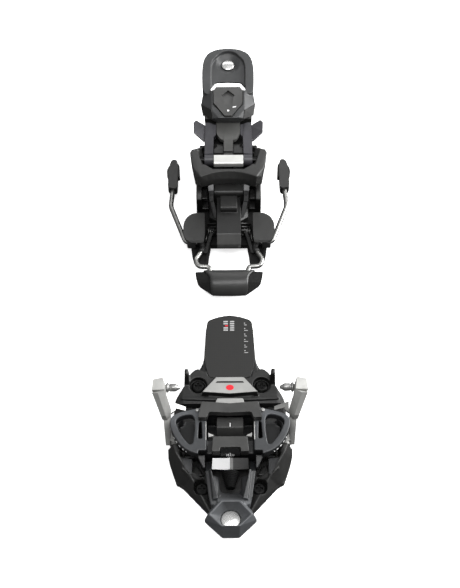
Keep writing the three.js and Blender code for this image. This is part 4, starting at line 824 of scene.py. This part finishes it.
def badge_height(y):
    """The height of the badge's face above the ski at a toe-unit y."""
    return BADGE_FOOT_Z + BADGE_SLOPE * (BADGE_FRONT_Y - y)


def cover_height(y):
    """The height of the lever cover's front slope above the ski at a heel-unit y."""
    return COVER_FRONT_Z + (y - COVER_FRONT_Y) / 6


def oval(place, centre_y, half_x, half_y, height, sides):
    """Points of an oval about the middle plane, lying on a slope whose height is a function of y."""
    points = []
    for i in range(sides):
        angle = 2 * math.pi * i / sides
        y = centre_y + half_y * math.sin(angle)
        points.append(place(half_x * math.cos(angle), y, height(y)))
    return points


def tongue_print(name, x0, x1, y0, y1, material, rise=PRINT_MM):
    """A flat mark on the tongue."""
    points = box_points(toe, x0, x1, y0, y1, TONGUE_TOP, TONGUE_TOP + rise)
    add_trim(name, points, material, "base_plates", 0.02)


def print_tongue():
    """Two columns of bars with a red dash between them, and a row of short marks."""
    bars_y, bar_pitch = 71, 1.9
    marks_y, mark_pitch = 70.5, 4.9
    for row in range(5):
        y = bars_y - bar_pitch * row
        for column, (x0, x1) in enumerate(((-4.6, -1.2), (0.4, 3.6))):
            if (row, column) != (2, 0):
                tongue_print(f"tongue_bar_{row}_{column}", x0, x1, y - 1.1, y, PRINT_PALE)
    tongue_print("tongue_dash", -3.4, -1.2, 66.2, 67.2, PRINT_RED, 0.13)
    for i in range(6):
        y = marks_y - mark_pitch * i
        tongue_print(f"tongue_mark_{i}", 11.2, 13.2 + 0.8 * (i % 2), y - 3.4, y - 2.9, PRINT_PALE)
        tongue_print(f"tongue_point_{i}", 11.2, 12, y - 1.9, y - 1.1, PRINT_PALE)


def print_badge():
    """A dark stripe above a red dot."""
    stripe = []
    for x, y in ((-9.6, 16.6), (9.6, 16.6), (-10.6, 15), (10.6, 15)):
        stripe += [toe(x, y, badge_height(y) - 0.04), toe(x, y, badge_height(y) + 0.06)]
    add_trim("badge_stripe", stripe, PRINT_DARK, "base_plates", 0.02)
    dot = oval(toe, 10.2, 2.9, 2.7, lambda y: badge_height(y) + 0.01, 28)
    mesh = slab_mesh("badge_dot", dot, 0.06)
    new_object("badge_dot", mesh, PRINT_RED, "base_plates")


def print_scale():
    """Five ticks with a long one in the middle, and a dash on the trigger."""
    foot_y, foot_z = -48.7, 25.12
    pitch, long, short = 1.2, 2.2, 1.3
    for i in range(5):
        x = pitch * (i - 2)
        tall = long if i == 2 else short
        low = [toe(x + dx, foot_y + dy, foot_z) for dx in (-0.18, 0.18) for dy in (-0.12, 0.1)]
        high = [point + Vector((0, 0.6 * tall, 0.75 * tall)) * MM for point in low]
        add_trim(f"scale_tick_{i}", low + high, PRINT_WHITE, "toe_slider", 0.02)
    points = box_points(toe, -0.35, 0.35, -26.4, -23.4, 25.1, 26.06)
    add_trim("step_dash", points, PRINT_WHITE, "step_in_trigger", 0.02)


def print_cover():
    """A dot and a dash on the lever's cover."""
    sunk = 0.2
    dot = oval(heel, 36, 0.9, 0.9, lambda y: cover_height(y) - sunk, 20)
    new_object("cover_dot", slab_mesh("cover_dot", dot, 0.26), PRINT_WHITE, "heel_lever")
    dash = []
    for x, y in ((3.6, 38.6), (6.4, 39.2), (3.6, 39.5), (6.4, 40.1)):
        dash += [heel(x, y, cover_height(y) - sunk), heel(x, y, cover_height(y) + 0.06)]
    add_trim("cover_dash", dash, PRINT_WHITE, "heel_lever", 0.02)


build_toe_pins()
build_sleeve()
build_discs()
build_wires()
build_pedal()
build_toe_coil()
build_heel_coils()
build_toe_trim()
print_tongue()
print_badge()
print_scale()
print_cover()
build_heel_trim()


# ---- Stage --------------------------------------------------------------------------
FLOOR_HALF = 6.0
FLOOR_DROP_MM = 0.3
ELEVATION = math.radians(57)
DISTANCE = 0.88
TARGET = Vector((0, -0.0141, 0.025))
LENS_MM = 70.2245
ROLL = -0.0063


def build_floor():
    """A plain white floor that the object's shine and shade don't pick up."""
    mesh = bpy.data.meshes.new("floor")
    corners = [(x * FLOOR_HALF, y * FLOOR_HALF, 0) for x, y in ((-1, -1), (1, -1), (1, 1), (-1, 1))]
    mesh.from_pydata(corners, [], [(0, 1, 2, 3)])
    obj = bpy.data.objects.new("floor", mesh)
    obj.location.z = -FLOOR_DROP_MM * MM
    obj.visible_glossy = False
    obj.visible_diffuse = False
    scene.collection.objects.link(obj)
    s = Shader("floor_white", (0.9, 0.9, 0.9), 0.9)
    s.bsdf.inputs["Emission Color"].default_value = (1, 1, 1, 1)
    s.bsdf.inputs["Emission Strength"].default_value = 0.62
    s.bsdf.inputs["Specular IOR Level"].default_value = 0.1
    mesh.materials.append(s.material)


def area_light(name, power, size, location, target):
    """A soft rectangular light that faces a point."""
    light = bpy.data.lights.new(name, "AREA")
    light.energy = power
    light.shape = "RECTANGLE"
    light.size, light.size_y = size
    obj = bpy.data.objects.new(name, light)
    obj.location = location
    obj.rotation_euler = (Vector(target) - Vector(location)).to_track_quat("-Z", "Y").to_euler()
    scene.collection.objects.link(obj)


def build_sky():
    """A grey studio: dark below and at the horizon, lighter overhead."""
    world = bpy.data.worlds.new("studio")
    world.use_nodes = True
    tree = world.node_tree
    background = tree.nodes["Background"]
    coords = tree.nodes.new("ShaderNodeTexCoord")
    split = tree.nodes.new("ShaderNodeSeparateXYZ")
    ramp = tree.nodes.new("ShaderNodeValToRGB")
    tree.links.new(coords.outputs["Generated"], split.inputs[0])
    tree.links.new(split.outputs["Z"], ramp.inputs["Fac"])
    tree.links.new(ramp.outputs["Color"], background.inputs["Color"])
    steps = ramp.color_ramp
    steps.elements[0].position = 0.0
    steps.elements[0].color = (0.10, 0.10, 0.10, 1)
    steps.elements[1].position = 1.0
    steps.elements[1].color = (0.75, 0.75, 0.75, 1)
    middle = steps.elements.new(0.45)
    middle.color = (0.28, 0.28, 0.28, 1)
    background.inputs["Strength"].default_value = 1.0
    scene.world = world


def build_light():
    """The studio's sky, a soft light overhead, a strong one on the right and two weak ones."""
    build_sky()
    area_light("overhead", 9.5, (1.1, 0.55), (0.1, -0.25, 1.1), (0, 0, 0.02))
    area_light("right", 32, (1.0, 0.8), (1.0, 0.3, 0.45), (0, 0, 0.03))
    area_light("left", 0.8, (0.4, 0.9), (-1.0, -0.1, 0.5), (0, 0, 0.03))
    area_light("back", 3, (1.2, 0.3), (0.0, 1.0, 0.8), (0, 0, 0.03))


def build_camera():
    """The camera looks down the ski from beyond the toe, 57 degrees above the ski's plane."""
    camera = bpy.data.cameras.new("camera")
    camera.sensor_fit = "VERTICAL"
    camera.sensor_height = 36
    camera.lens = LENS_MM
    camera.shift_x = 0.0012
    camera.clip_start = 0.01
    obj = bpy.data.objects.new("camera", camera)
    offset = Vector((0, -math.cos(ELEVATION), math.sin(ELEVATION))) * DISTANCE
    obj.location = TARGET + offset
    roll = Matrix.Rotation(ROLL, 3, "Z")
    obj.rotation_euler = ((-offset).to_track_quat("-Z", "Y").to_matrix() @ roll).to_euler()
    scene.collection.objects.link(obj)
    scene.camera = obj


build_floor()
build_light()
build_camera()
scene.view_settings.view_transform = "Standard"
scene.view_settings.look = "None"
